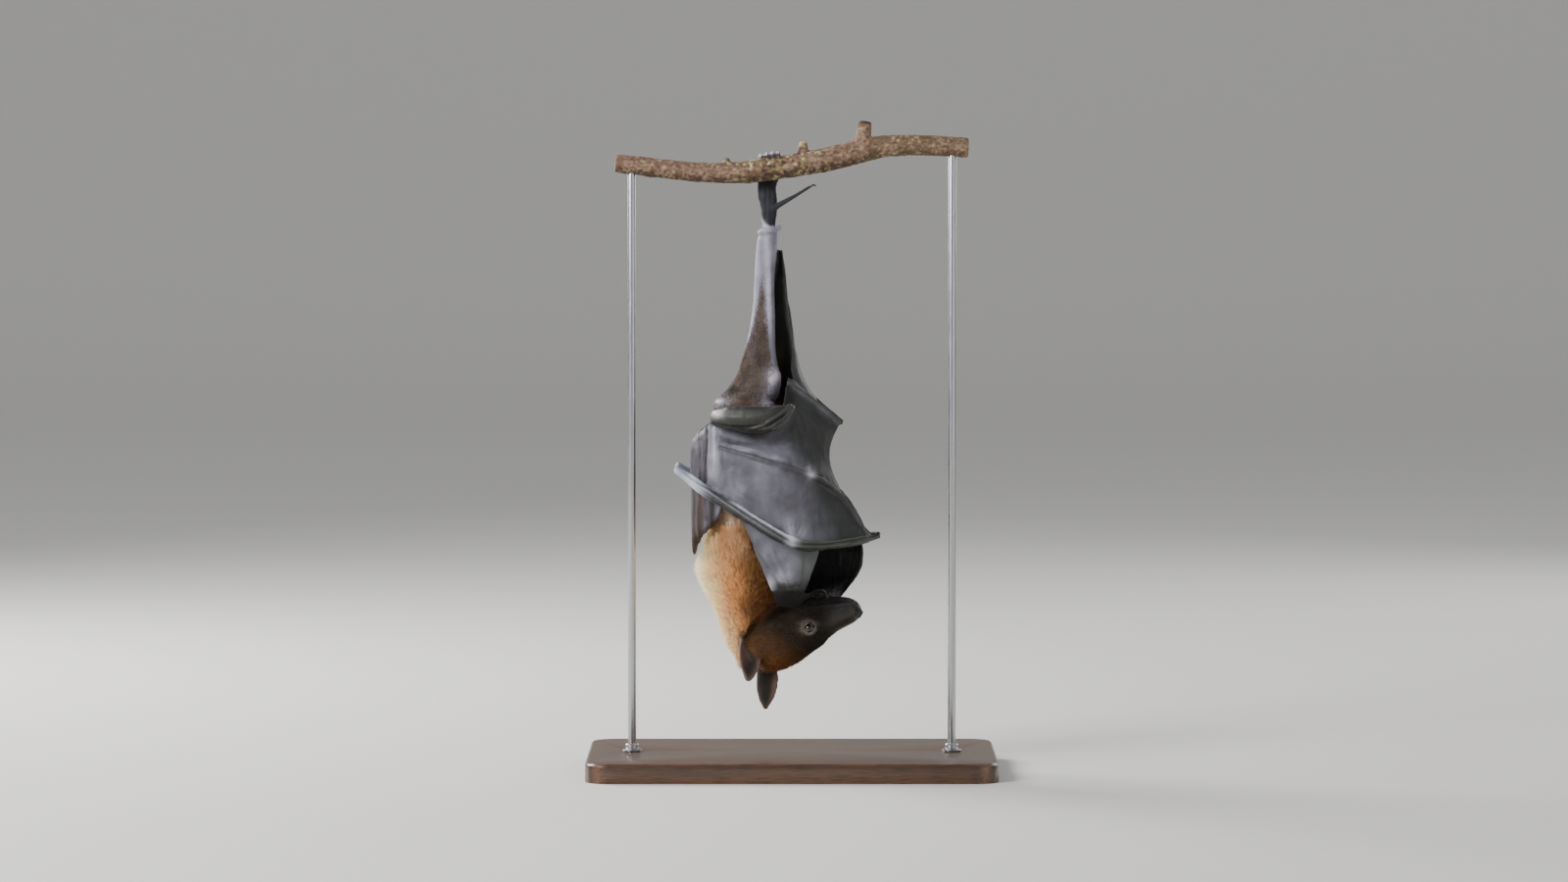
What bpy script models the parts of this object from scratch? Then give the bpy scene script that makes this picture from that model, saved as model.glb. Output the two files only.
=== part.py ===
"""A fruit bat asleep, life size, hanging by its right foot from a cut branch on a display stand.

All sizes are in millimetres and turned to metres as each mesh is made. +Z is up, the bat's belly
faces +X, its left wing is on the -Y side, and the origin is under the middle of the base. The bat
hangs head down, with both wings wrapped round it and its left foot tucked against its side.
"""

import math

import bmesh
import bpy
from mathutils import Vector

MM = 0.001
GAP = 0.3  # room between neighbours

# Driving sizes of the stand and the perch
BASE_LENGTH, BASE_WIDTH, BASE_HEIGHT = 250.0, 160.0, 12.0
BASE_CORNER, BASE_EDGE = 14.0, 1.5
ROD_RADIUS, ROD_X, ROD_SINK = 2.5, 98.0, 7.0
BRANCH_HALF = 108.0

# Levels that part the body, and the lines that it is built round
ANKLE_Z, HIP_Z, SHOULDER_Z = 333.0, 228.0, 148.0
AXIS_X = -15.0  # middle of the wrapped wings
WING_WALL = 1.2  # thickness of the wing skin
WING_SLIT = 2.5  # half the gap between the wings' edges

# Head: its middle, the way it points, and how far it rolls to the left
HEAD_MIDDLE = Vector((-8.0, -2.0, 83.0))
HEAD_LIFT, HEAD_TURN, HEAD_ROLL = 18.0, 10.0, 24.0
EYE_RADIUS = 4.4
EYE_AHEAD, EYE_CROWN, EYE_ASIDE = 21.5, 5.6, 9.7

FUR_GOLD = (0.52, 0.27, 0.10)
FUR_DARK = (0.07, 0.045, 0.03)
FUR_GREY = (0.10, 0.075, 0.06)
SKIN_SLATE = (0.06, 0.06, 0.07)
SKIN_BROWN = (0.09, 0.07, 0.06)
BARK = (0.22, 0.14, 0.10)
WALNUT = (0.10, 0.055, 0.03)
STEEL = (0.60, 0.60, 0.62)
EYE_BROWN = (0.03, 0.015, 0.008)


def clear_scene():
    for item in list(bpy.data.objects):
        bpy.data.objects.remove(item, do_unlink=True)


def along(rows, place):
    """Values at a place, on a smooth curve through rows of (place, value, ...)."""
    last = len(rows) - 1
    place = min(max(place, rows[0][0]), rows[last][0])
    left = max(i for i in range(last) if rows[i][0] <= place)
    span = rows[left + 1][0] - rows[left][0]
    part = (place - rows[left][0]) / span
    values = []
    for column in range(1, len(rows[0])):
        ends = []
        for i in (left, left + 1):
            before, after = rows[max(i - 1, 0)], rows[min(i + 1, last)]
            slope = (after[column] - before[column]) / (after[0] - before[0])
            ends.append((rows[i][column], slope * span))
        (start, out), (stop, into) = ends
        values.append(
            start * (1 + 2 * part) * (1 - part) ** 2
            + out * part * (1 - part) ** 2
            + stop * part * part * (3 - 2 * part)
            + into * part * part * (part - 1)
        )
    return values


def steps(start, stop, count):
    return [start + (stop - start) * i / count for i in range(count + 1)]


def ease(value):
    """0 below 0, 1 above 1, and a smooth rise between."""
    value = min(max(value, 0.0), 1.0)
    return value * value * (3 - 2 * value)


def sine_power(angle, power):
    return max(math.sin(angle), 0.0) ** power


def add_body(name, points, faces, colour, roughness=0.7, metallic=0.0):
    """One closed body with its own material, its faces turned outwards."""
    mesh = bpy.data.meshes.new(name)
    mesh.from_pydata([Vector(p) * MM for p in points], [], faces)
    work = bmesh.new()
    work.from_mesh(mesh)
    bmesh.ops.remove_doubles(work, verts=work.verts, dist=0.00001)
    bmesh.ops.recalc_face_normals(work, faces=work.faces)
    work.to_mesh(mesh)
    work.free()
    mesh.shade_smooth()
    mesh.set_sharp_from_angle(angle=math.radians(50))
    look = bpy.data.materials.new(name)
    look.use_nodes = True
    shader = look.node_tree.nodes["Principled BSDF"]
    shader.inputs["Base Color"].default_value = (*colour, 1.0)
    shader.inputs["Roughness"].default_value = roughness
    shader.inputs["Metallic"].default_value = metallic
    mesh.materials.append(look)
    body = bpy.data.objects.new(name, mesh)
    bpy.context.collection.objects.link(body)
    return body


def lofted(rings):
    """Points and faces of a body through rings of points, each end closed at its middle."""
    sides = len(rings[0])
    points = [p for ring in rings for p in ring]
    faces = []
    for row in range(len(rings) - 1):
        for i in range(sides):
            j = (i + 1) % sides
            low, high = row * sides, (row + 1) * sides
            faces.append((low + i, low + j, high + j, high + i))
    for row in (0, len(rings) - 1):
        middle = sum((Vector(p) for p in rings[row]), Vector()) / sides
        points.append(middle)
        for i in range(sides):
            j = (i + 1) % sides
            faces.append((row * sides + i, row * sides + j, len(points) - 1))
    return points, faces


def walled(outer, inner):
    """Points and faces of a thin wall between two grids of points, closed round its edge."""
    rows, columns = len(outer), len(outer[0])
    points = [p for grid in (outer, inner) for line in grid for p in line]
    behind = rows * columns
    faces = []
    for r in range(rows - 1):
        for c in range(columns - 1):
            a, b = r * columns + c, r * columns + c + 1
            d, e = a + columns, b + columns
            faces.append((a, b, e, d))
            faces.append((behind + a, behind + d, behind + e, behind + b))
    rim = list(range(columns))
    rim += [r * columns + columns - 1 for r in range(1, rows)]
    rim += [(rows - 1) * columns + c for c in range(columns - 2, -1, -1)]
    rim += [r * columns for r in range(rows - 2, 0, -1)]
    for i, a in enumerate(rim):
        b = rim[(i + 1) % len(rim)]
        faces.append((a, b, behind + b, behind + a))
    return points, faces


def tubed(path, radii, sides=8, flatness=1.0, flat_way=Vector((0, 1, 0))):
    """A round or flattened rod along a path; flatness thins it along flat_way."""
    path = [Vector(p) for p in path]
    rings = []
    for i, (point, radius) in enumerate(zip(path, radii)):
        ahead = path[min(i + 1, len(path) - 1)] - path[max(i - 1, 0)]
        ahead.normalize()
        thin = (flat_way - ahead * flat_way.dot(ahead)).normalized()
        wide = ahead.cross(thin)
        turns = [2 * math.pi * k / sides for k in range(sides)]
        rings.append(
            [
                point + wide * (radius * math.cos(t)) + thin * (radius * flatness * math.sin(t))
                for t in turns
            ]
        )
    return lofted(rings)


def smooth_path(points, count):
    """Evenly numbered points on a smooth curve through the given ones."""
    rows = [(i, *p) for i, p in enumerate(points)]
    return [Vector(along(rows, t)) for t in steps(0, len(points) - 1, count)]


def smooth_radii(radii, count):
    rows = [(i, r) for i, r in enumerate(radii)]
    return [along(rows, t)[0] for t in steps(0, len(radii) - 1, count)]


def combine(body, other, operation):
    """Joins another body to this one or cuts it away, and leaves the other as a guide."""
    change = body.modifiers.new(operation.title(), "BOOLEAN")
    change.operation = operation
    change.solver = "EXACT"
    change.object = other
    other.hide_render = True
    other.display_type = "WIRE"


def keep_one_side(body, point, normal):
    """Cuts a body by a plane and keeps what lies against the normal, closed flat."""
    work = bmesh.new()
    work.from_mesh(body.data)
    everything = work.verts[:] + work.edges[:] + work.faces[:]
    cut = bmesh.ops.bisect_plane(
        work, geom=everything, plane_co=Vector(point) * MM, plane_no=normal, clear_outer=True
    )
    edges = [e for e in cut["geom_cut"] if isinstance(e, bmesh.types.BMEdge)]
    bmesh.ops.edgenet_fill(work, edges=edges)
    bmesh.ops.recalc_face_normals(work, faces=work.faces)
    work.to_mesh(body.data)
    work.free()


# ---------------------------------------------------------------- stand

def make_base():
    """A flat plate with round corners and a softened top edge, drilled for the rods."""
    corners = []
    for sx, sy, start in ((1, 1, 0), (-1, 1, 90), (-1, -1, 180), (1, -1, 270)):
        cx = sx * (BASE_LENGTH / 2 - BASE_CORNER)
        cy = sy * (BASE_WIDTH / 2 - BASE_CORNER)
        for turn in steps(start, start + 90, 5):
            angle = math.radians(turn)
            corners.append(
                (cx + BASE_CORNER * math.cos(angle), cy + BASE_CORNER * math.sin(angle))
            )
    across, deep = 1 - 2 * BASE_EDGE / BASE_LENGTH, 1 - 2 * BASE_EDGE / BASE_WIDTH
    inset = [(x * across, y * deep) for x, y in corners]
    levels = [(corners, 0.0), (corners, BASE_HEIGHT - BASE_EDGE), (inset, BASE_HEIGHT)]
    points, faces = lofted([[(x, y, z) for x, y in ring] for ring, z in levels])
    base = add_body("stand_base", points, faces, WALNUT, 0.4)
    for side in (-1, 1):
        combine(base, make_drill(side, BASE_HEIGHT - ROD_SINK - GAP, BASE_HEIGHT + 5), "DIFFERENCE")


def make_drill(side, low, high):
    """The hole that a rod sits in."""
    radius = ROD_RADIUS + GAP
    path = [(side * ROD_X, 0, low), (side * ROD_X, 0, high)]
    points, faces = tubed(path, [radius, radius], 12)
    return add_body("guide_drill", points, faces, STEEL)


def make_rods():
    """Two upright rods from the base into the underside of the branch."""
    for side, name in ((-1, "stand_rod_left"), (1, "stand_rod_right")):
        middle, radius = branch_at(side * ROD_X)
        top = middle.z - radius + ROD_SINK
        path = [(side * ROD_X, 0, BASE_HEIGHT - ROD_SINK), (side * ROD_X, 0, top)]
        points, faces = tubed(path, [ROD_RADIUS, ROD_RADIUS], 12)
        add_body(name, points, faces, STEEL, 0.3, 1.0)


# ---------------------------------------------------------------- perch

# x along the branch, height of its middle, its radius
BRANCH = [
    (-108, 372.5, 5.8), (-101, 372, 5.9), (-65, 367.6, 6.0), (-35, 366.4, 6.6), (-14, 369, 7.4),
    (7, 372, 7.2), (31, 377, 7.8), (55, 383, 6.9), (79, 383.5, 6.4), (108, 382, 6.2),
]
# Stubs of lost twigs: x, lean along the branch, height above its middle, radius at foot and top
STUBS = [(-39, -1, 9.5, 3.2, 2.0), (6, 1, 14.0, 4.2, 2.6), (42, 3, 18.0, 5.6, 4.2)]


def branch_at(x):
    height, radius = along(BRANCH, x)
    return Vector((x, 0, height)), radius


def make_branch():
    """A cut length of branch, slightly bent, with three stubs and two holes below."""
    path = [branch_at(x)[0] for x in steps(-BRANCH_HALF, BRANCH_HALF, 16)]
    radii = [branch_at(x)[1] for x in steps(-BRANCH_HALF, BRANCH_HALF, 16)]
    points, faces = tubed(path, radii, 12)
    branch = add_body("perch_branch", points, faces, BARK, 0.85)
    for x, lean, height, foot, top in STUBS:
        middle = branch_at(x)[0]
        tip = middle + Vector((lean, 0, height))
        shape = tubed([middle, middle.lerp(tip, 0.6), tip], [foot, (foot + top) / 2, top], 8)
        combine(branch, add_body("guide_stub", *shape, BARK), "UNION")
    for side in (-1, 1):
        middle, radius = branch_at(side * ROD_X)
        drill = make_drill(side, middle.z - radius - 5, middle.z - radius + ROD_SINK + GAP)
        combine(branch, drill, "DIFFERENCE")


# ---------------------------------------------------------------- feet

# The palm, from the ankle up behind the branch, and its half widths
PALM = [
    (-14.0, 1.8, ANKLE_Z + 2 * GAP), (-14.0, 1.8, 340), (-13.9, 3.5, 346), (-15.0, 5.5, 353),
    (-15.6, 8.2, 359), (-14.2, 11, 365.5),
]
PALM_RADII = [4.4, 4.5, 5.4, 5.6, 6.1, 6.8]
PALM_FLATNESS = 0.42
# The toes: their places along the branch, the degrees that they grip, their radii to the claw
TOE_XS = (-19.0, -15.4, -11.8, -8.2)
TOE_TURN = (-38, 115)
TOE_RADII = [1.9, 1.9, 1.8, 1.6, 1.5, 1.3, 0.7]
FREE_TOE = [
    (-12.5, 2, 344), (-8.4, 0, 346.8), (1, -2.5, 352), (5.7, -3.8, 354.9), (10.3, -4.2, 357.8),
    (12.8, -4.2, 359.2),
]
FREE_TOE_RADII = [2.4, 1.8, 1.4, 1.3, 1.1, 0.5]


def toe_arc(x, start, stop, count, radius):
    """Points round the branch from under it, behind it and over its top; 0 degrees is behind."""
    middle, branch_radius = branch_at(x)
    reach = branch_radius * 1.03 + GAP + radius
    turns = [math.radians(t) for t in steps(start, stop, count)]
    return [middle + Vector((0, math.cos(t) * reach, math.sin(t) * reach)) for t in turns]


def make_right_foot():
    """The foot that grips the branch: a flat palm, four hooked toes and one that hangs free."""
    radii = smooth_radii(PALM_RADII, 7)
    points, faces = tubed(smooth_path(PALM, 7), radii, 12, PALM_FLATNESS)
    foot = add_body("foot_right", points, faces, SKIN_SLATE, 0.55)
    for x in TOE_XS:
        toe = toe_arc(x, *TOE_TURN, 7, TOE_RADII[0])
        shape = tubed(toe, smooth_radii(TOE_RADII, 7), 6)
        combine(foot, add_body("guide_toe", *shape, SKIN_SLATE), "UNION")
    shape = tubed(smooth_path(FREE_TOE, 9), smooth_radii(FREE_TOE_RADII, 9), 7)
    combine(foot, add_body("guide_toe", *shape, SKIN_SLATE), "UNION")


# The tucked left foot, along X: middle y and z, half its height, half its depth
POUCH = [
    (-49.5, -33.5, 217.5, 2.5, 2.2), (-46.5, -36, 217.5, 5.2, 4.0), (-38, -42.5, 218.6, 7.4, 4.8),
    (-26, -46, 217.6, 8.7, 5.0), (-12, -46.5, 218.2, 8.2, 4.8), (-3, -44, 221.8, 5.0, 3.9),
    (2, -40.5, 226, 2.3, 2.3),
]
POUCH_PART_X = -36.0  # where the shank ends and the foot begins


def pouch_ring(x):
    y, z, tall, deep = along(POUCH, x)
    turns = [2 * math.pi * k / 14 for k in range(14)]
    return [(x, y + deep * math.sin(t), z + tall * math.cos(t)) for t in turns]


def make_tucked_leg():
    """The left shank and foot, folded flat over the wing and wrapped in gathered skin."""
    foot = [pouch_ring(x) for x in steps(POUCH[0][0], POUCH_PART_X - GAP / 2, 5)]
    add_body("foot_left", *lofted(foot), SKIN_BROWN, 0.6)
    shank = [pouch_ring(x) for x in steps(POUCH_PART_X + GAP / 2, POUCH[-1][0], 9)]
    add_body("leg_left", *lofted(shank), SKIN_BROWN, 0.6)


# ---------------------------------------------------------------- right leg and trunk

# Upward from the hip: middle x, half width, half depth
LEG = [
    (228, -27.5, 19.5, 23.5), (234, -25, 16.5, 20), (239, -22.9, 13.4, 17), (245, -21.4, 12.1, 14.5),
    (257, -19.7, 10.2, 11), (269, -18.4, 8.2, 8.8), (281, -17.4, 7.1, 7.2), (305, -16.8, 6.6, 6.0),
    (325, -14.9, 6.4, 5.2), (333, -14.0, 5.9, 4.6),
]
KNEE_RISE, KNEE_Z, KNEE_TALL = 7.8, 240.0, 7.0  # the knee of the tucked leg, behind the wing's edge
KNEE_TURN, KNEE_ROUND = -0.55, 0.6

STRIP_RISE = 1.6  # how far the fold of skin stands out along the shank
STRIP_X, STRIP_HALF, STRIP_FOOT = -12.8, 3.2, 249.0


def make_right_leg():
    """The leg that carries the weight, furred, with a fold of skin down its near side."""
    rings = []
    for z in steps(HIP_Z + GAP / 2, ANKLE_Z, 13):
        middle, wide, deep = along(LEG, z)
        share = ease((z - STRIP_FOOT) / 12)
        ring = []
        for k in range(14):
            turn = 2 * math.pi * k / 14
            off_knee = (turn - KNEE_TURN + math.pi) % (2 * math.pi) - math.pi
            knee = KNEE_RISE * math.exp(-((off_knee / KNEE_ROUND) ** 2) - ((z - KNEE_Z) / KNEE_TALL) ** 2)
            x, y = middle + (wide + knee) * math.cos(turn), (deep + knee) * math.sin(turn)
            fold = math.exp(-(((x - STRIP_X) / STRIP_HALF) ** 2)) if y < 0 else 0.0
            ring.append((x, y - STRIP_RISE * share * fold, z))
        rings.append(ring)
    add_body("leg_right", *lofted(rings), FUR_GREY, 0.8)


# Outline of the wrapped wings, upward: back x, front x, half depth
WRAP = [
    (96, -50, 26, 37), (108, -54, 36, 40), (123, -59.5, 47, 42), (138, -61, 54, 44),
    (145, -61.5, 57, 44.5), (161, -62, 41, 45), (176, -62.5, 33, 45), (194, -63, 31, 43),
    (205, -63, 32, 40), (213, -60, 34, 37.5), (227, -51, 22, 30.5), (243, -38, 11, 21),
    (252, -34, 6, 17),
]
FRONT_POWER, BACK_POWER = 1.7, 0.8


def wrap_angle(x, z):
    """The angle at which the wrapped wing passes x at a level, 0 in front and pi behind."""
    back, front, _ = along(WRAP, z)
    reach = front - AXIS_X if x > AXIS_X else AXIS_X - back
    return math.acos(min(max((x - AXIS_X) / reach, -0.998), 0.998))


def wrap_flat(angle, z):
    back, front, deep = along(WRAP, z)
    ahead = angle < math.pi / 2
    reach = front - AXIS_X if ahead else AXIS_X - back
    power = FRONT_POWER if ahead else BACK_POWER
    x = AXIS_X + reach * math.cos(angle)
    return Vector((x, WING_SLIT + (deep - WING_SLIT) * sine_power(angle, power)))


def wrap_point(angle, z, lift, side):
    """A point over the wrapped surface, lifted outwards; side is -1 for the left wing."""
    step = 0.02
    here = wrap_flat(angle, z)
    run = wrap_flat(angle + step, z) - wrap_flat(angle - step, z)
    out = Vector((run.y, -run.x)).normalized()
    return Vector((here.x + out.x * lift, side * (here.y + out.y * lift), z))


def on_wing(x, z, lift, side):
    return wrap_point(wrap_angle(x, z), z, lift, side)


# The trunk, upward: back x, front x, half depth
TRUNK = [
    (148, -52, 12, 34.5), (170, -53, 16, 35.2), (200, -53.5, 14, 31.5), (213, -51.5, 6, 28),
    (221, -49.5, -2, 25.5), (228, -47, -8, 23.5),
]


def trunk_ring(z, sides=18):
    back, front, deep = along(TRUNK, z)
    ring = []
    for k in range(sides):
        turn = 2 * math.pi * k / sides
        reach = front - AXIS_X if math.cos(turn) > 0 else AXIS_X - back
        power = 0.9 if math.cos(turn) > 0 else 0.8
        high = deep * abs(math.sin(turn)) ** power
        x = AXIS_X + reach * math.cos(turn)
        ring.append((x, math.copysign(high, math.sin(turn)), z))
    return ring


def make_trunk():
    """The furred body inside the wings, from the shoulders to the hips."""
    rings = [trunk_ring(z) for z in steps(SHOULDER_Z + GAP / 2, HIP_Z - GAP / 2, 8)]
    add_body("trunk", *lofted(rings), FUR_GREY, 0.85)


# ---------------------------------------------------------------- neck and head

# The mane, upward: back x, front x, half depth, x where it is deepest
MANE = [
    (64, -31, -8, 10, -20), (70, -34.5, 0, 16, -20), (77, -40.5, 2, 20, -21), (89, -46.5, 3, 24, -23),
    (98, -49, 4, 27, -25), (107, -53.5, 5, 30.5, -28), (116, -57.5, 6, 34, -32),
    (126, -61, 8, 36.8, -33), (133, -56.5, 9, 34.6, -27), (141, -54, 10, 34.5, -25),
    (148, -51, 11, 33, -22),
]


def mane_ring(z, sides=18):
    back, front, deep, middle = along(MANE, z)
    ring = []
    for k in range(sides):
        turn = 2 * math.pi * k / sides
        reach = front - middle if math.cos(turn) > 0 else middle - back
        ring.append((middle + reach * math.cos(turn), deep * math.sin(turn), z))
    return ring


def head_axes():
    """The head's own directions: to the nose, to the crown, and to its right side."""
    turn, lift = math.radians(HEAD_TURN), math.radians(HEAD_LIFT)
    nose = Vector((math.cos(lift) * math.cos(turn), -math.cos(lift) * math.sin(turn), math.sin(lift)))
    across = Vector((math.sin(turn), math.cos(turn), 0))
    crown = -nose.cross(across)
    roll = math.radians(HEAD_ROLL)
    right = across * math.cos(roll) + crown * math.sin(roll)
    return nose, crown * math.cos(roll) - across * math.sin(roll), right


def in_head(ahead, crown, right):
    to_nose, to_crown, to_right = head_axes()
    return HEAD_MIDDLE + to_nose * ahead + to_crown * crown + to_right * right


# Up the ear: half width, how deep it is cupped
EAR = [(0, 5.0, 3.5), (0.2, 7.2, 4.0), (0.45, 8.0, 3.2), (0.7, 6.9, 2.0), (0.88, 4.2, 1.0), (1, 1.2, 0.3)]
# Left and right ear: along the head, to the crown, aside
EAR_FOOT = {-1: (-11.8, -3.8, 14.5), 1: (-11.8, 2.6, 14.5)}
EAR_TIP = {-1: (-20.5, 30.4, 20.5), 1: (-22.5, 36.0, 20.0)}
EAR_WALL = 1.1
EAR_ROOM = 0.6  # share of the ear that the mane stands clear of
EAR_OPENS = {-1: (0.75, 0.65), 1: (0.3, 0.9)}  # share forwards and share sideways, left and right


def ear_axes(side):
    """An ear's foot and tip, the way across it and the way that it opens."""
    foot, tip = (in_head(a, c, side * aside) for a, c, aside in (EAR_FOOT[side], EAR_TIP[side]))
    upright = (tip - foot).normalized()
    to_nose, _, to_right = head_axes()
    forwards, sideways = EAR_OPENS[side]
    across = upright.cross(to_nose * forwards + to_right * side * sideways).normalized()
    return foot, tip, across, across.cross(upright)


def ear_room(side):
    """The room that the mane leaves round the foot of an ear."""
    foot, tip, across, opens = ear_axes(side)
    rings = []
    for share in steps(-0.25, EAR_ROOM, 4):
        wide, cup = along(EAR, share)
        middle = foot.lerp(tip, share) - opens * cup / 2
        wide, deep = wide + 1.6, cup / 2 + EAR_WALL + 1.5
        turns = [2 * math.pi * k / 12 for k in range(12)]
        rings.append([middle + across * wide * math.cos(t) + opens * deep * math.sin(t) for t in turns])
    return lofted(rings)


# Along the head to the nose: height of crown, depth of throat, half width
HEAD = [
    (-23, 5, -4, 4), (-21, 12, -10, 11), (-15, 18, -16, 17), (-6, 21.5, -19, 20),
    (4, 21, -19.5, 20), (14, 18, -19, 18), (22, 14.2, -18.5, 14.7), (30, 9.5, -17, 11),
    (38, 7.2, -14.5, 9.2), (46, 6.2, -12, 8.2), (51, 4.8, -9.5, 6.6), (54, 1.5, -5.5, 3.2),
]
PART_AHEAD, PART_CROWN, PART_START = 0.57, 0.82, -9.0


def head_shape(grow, sides=18, count=14):
    rings = []
    for ahead in steps(HEAD[0][0] - grow, HEAD[-1][0] + grow, count):
        crown, throat, wide = along(HEAD, ahead)
        ring = []
        for k in range(sides):
            turn = 2 * math.pi * k / sides
            high = (crown if math.cos(turn) > 0 else -throat) + grow
            side = (wide + grow) * math.copysign(abs(math.sin(turn)) ** 0.9, math.sin(turn))
            ring.append(in_head(ahead, high * math.cos(turn), side))
        rings.append(ring)
    return lofted(rings)


def parting():
    """The plane between mane and head: a point on it, and the way to the head's side."""
    to_nose, to_crown, _ = head_axes()
    return in_head(PART_START, 0, 0), (to_nose * PART_AHEAD + to_crown * PART_CROWN).normalized()


def make_neck():
    """The neck in its long mane, from the shoulders to behind the ears."""
    rings = [mane_ring(z) for z in steps(MANE[0][0], SHOULDER_Z - GAP / 2, 12)]
    neck = add_body("neck", *lofted(rings), FUR_GOLD, 0.9)
    point, way = parting()
    keep_one_side(neck, point - way * GAP / 2, way)
    for side in (-1, 1):
        combine(neck, add_body("guide_ear", *ear_room(side), FUR_GOLD), "DIFFERENCE")


def make_head():
    """The skull, cheeks and muzzle, with a socket for each eye."""
    head = add_body("head", *head_shape(0), FUR_DARK, 0.8)
    point, way = parting()
    keep_one_side(head, point + way * GAP / 2, -way)
    for side in (-1, 1):
        socket = add_body("guide_socket", *eye_ball(side, GAP), FUR_DARK)
        combine(head, socket, "DIFFERENCE")


def eye_ball(side, grow):
    middle = in_head(EYE_AHEAD, EYE_CROWN, side * EYE_ASIDE)
    radius = EYE_RADIUS + grow
    rings = []
    for tilt in steps(10, 170, 8):
        angle = math.radians(tilt)
        turns = [2 * math.pi * k / 12 for k in range(12)]
        level = radius * math.cos(angle)
        flat = radius * math.sin(angle)
        rings.append([middle + Vector((flat * math.cos(t), level, flat * math.sin(t))) for t in turns])
    return lofted(rings)


def make_eyes():
    for side, name in ((-1, "eye_left"), (1, "eye_right")):
        add_body(name, *eye_ball(side, 0), EYE_BROWN, 0.1)


def make_ears():
    """Two pointed, cupped ears that open forwards and outwards."""
    for side, name in ((-1, "ear_left"), (1, "ear_right")):
        foot, tip, across, opens = ear_axes(side)
        outer, inner = [], []
        for share in steps(0, 1, 7):
            wide, cup = along(EAR, share)
            middle = foot.lerp(tip, share)
            lines = ([], [])
            for place in steps(-1, 1, 8):
                dip = cup * (1 - place * place)
                point = middle + across * wide * place - opens * dip
                lines[0].append(point - opens * EAR_WALL / 2)
                lines[1].append(point + opens * EAR_WALL / 2)
            outer.append(lines[0])
            inner.append(lines[1])
        ear = add_body(name, *walled(outer, inner), SKIN_SLATE, 0.6)
        combine(ear, add_body("guide_head", *head_shape(GAP), FUR_DARK), "DIFFERENCE")


# ---------------------------------------------------------------- wings

SAG = 3.0  # how far the skin sinks between the finger bones
EDGE_BOW = 12.0  # how far the free edge bows in between two fingertips
# Across the wing from back to front: the line of the third finger, and the upper edge
FAN_FOOT = [(0, -52, 175.5), (0.3, -22, 156.5), (0.5, 1, 142.8), (0.75, 27, 142.5), (1, 50, 145)]
FAN_TOP = [
    (0, -50, 213), (0.28, -29, 214), (0.48, -9, 219), (0.56, -3.2, 225), (0.63, -3.6, 243.5),
    (0.8, 13, 229), (1, 30, 213),
]
# Finger bones over the wing: x and z of each joint
FINGER_4 = [(-44, 201), (-16, 193), (12, 183), (30.2, 168.6), (42, 151.5)]
FINGER_5 = [(-3, 240), (13, 228), (29.5, 213.5)]


def distance_to_line(x, z, line):
    nearest = 1e9
    place = Vector((x, z))
    for a, b in zip(line, line[1:]):
        a, b = Vector(a), Vector(b)
        share = (place - a).dot(b - a) / (b - a).length_squared
        nearest = min(nearest, (place - a.lerp(b, min(max(share, 0), 1))).length)
    return nearest


def fan_place(across, up):
    """x, z and lift of the wing skin: stretched over the fingers and sunk between them."""
    foot, top = along(FAN_FOOT, across), along(FAN_TOP, across)
    x = foot[0] + (top[0] - foot[0]) * up
    z = foot[1] + (top[1] - foot[1]) * up
    x -= EDGE_BOW * math.sin(math.pi * up) ** 0.7 * across ** 4 if 0 < up < 1 else 0
    third = [row[1:] for row in FAN_FOOT]
    near = min(distance_to_line(x, z, line) for line in (third, FINGER_4, FINGER_5))
    return x, z, -SAG * ease(near / 15) * ease(across / 0.2)


def make_fan(side, name):
    outer, inner = [], []
    for up in steps(0, 1, 10):
        places = [fan_place(across, up) for across in steps(0, 1, 17)]
        outer.append([on_wing(x, z, lift, side) for x, z, lift in places])
        inner.append([on_wing(x, z, lift - WING_WALL, side) for x, z, lift in places])
    add_body(name, *walled(outer, inner), SKIN_SLATE, 0.5)


UNDER_FAN = -(SAG + WING_WALL + 0.6)  # lift of what lies beneath the wing skin
ARM_WALL, ARM_EDGE = 3.4, 1.6
ARM_LOW, ARM_HIGH, ARM_FRONT_X = 133.0, 214.0, -44.5
ARM_BACK, ARM_TAPER = 0.975, 0.12  # shares of the half turn, where 1 is the middle of the back
ARM_CLEAR_X, ARM_CLEAR_Z = -51.5, 203.0  # behind and below these it comes out to the surface
ELBOW_SLANT, ELBOW_TOP = 16.0, 166.0  # how far the front edge slants back, and from what level down
ELBOW_FALL = 27.0  # over what height it does so


def make_upper_arm(side, name):
    """The upper arm and elbow along the bat's back, with the skin behind it."""
    outer, inner = [], []
    for z in steps(ARM_LOW, ARM_HIGH, 8):
        slant = ELBOW_SLANT * ease((ELBOW_TOP - z) / ELBOW_FALL)
        start = wrap_angle(ARM_FRONT_X - slant, z)
        stop = math.pi * (ARM_BACK - ARM_TAPER * ease((z - 200) / (ARM_HIGH - 200)))
        deep = ease((z - ARM_LOW) / 30)
        under, wall = UNDER_FAN * deep, ARM_EDGE + (ARM_WALL - ARM_EDGE) * deep
        lines = ([], [])
        for angle in steps(start, stop, 6):
            x = wrap_flat(angle, z).x
            clear = ease((ARM_CLEAR_X - x) / 6) * (1 - ease((z - ARM_CLEAR_Z) / 11))
            lift = UNDER_FAN * (1 - clear)
            lines[0].append(wrap_point(angle, z, lift, side))
            lines[1].append(wrap_point(angle, z, min(lift, under) - wall, side))
        outer.append(lines[0])
        inner.append(lines[1])
    add_body(name, *walled(outer, inner), SKIN_BROWN, 0.6)


WRIST_Z = {-1: 113.0, 1: 105.0}  # the right wing is folded a little lower
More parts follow.
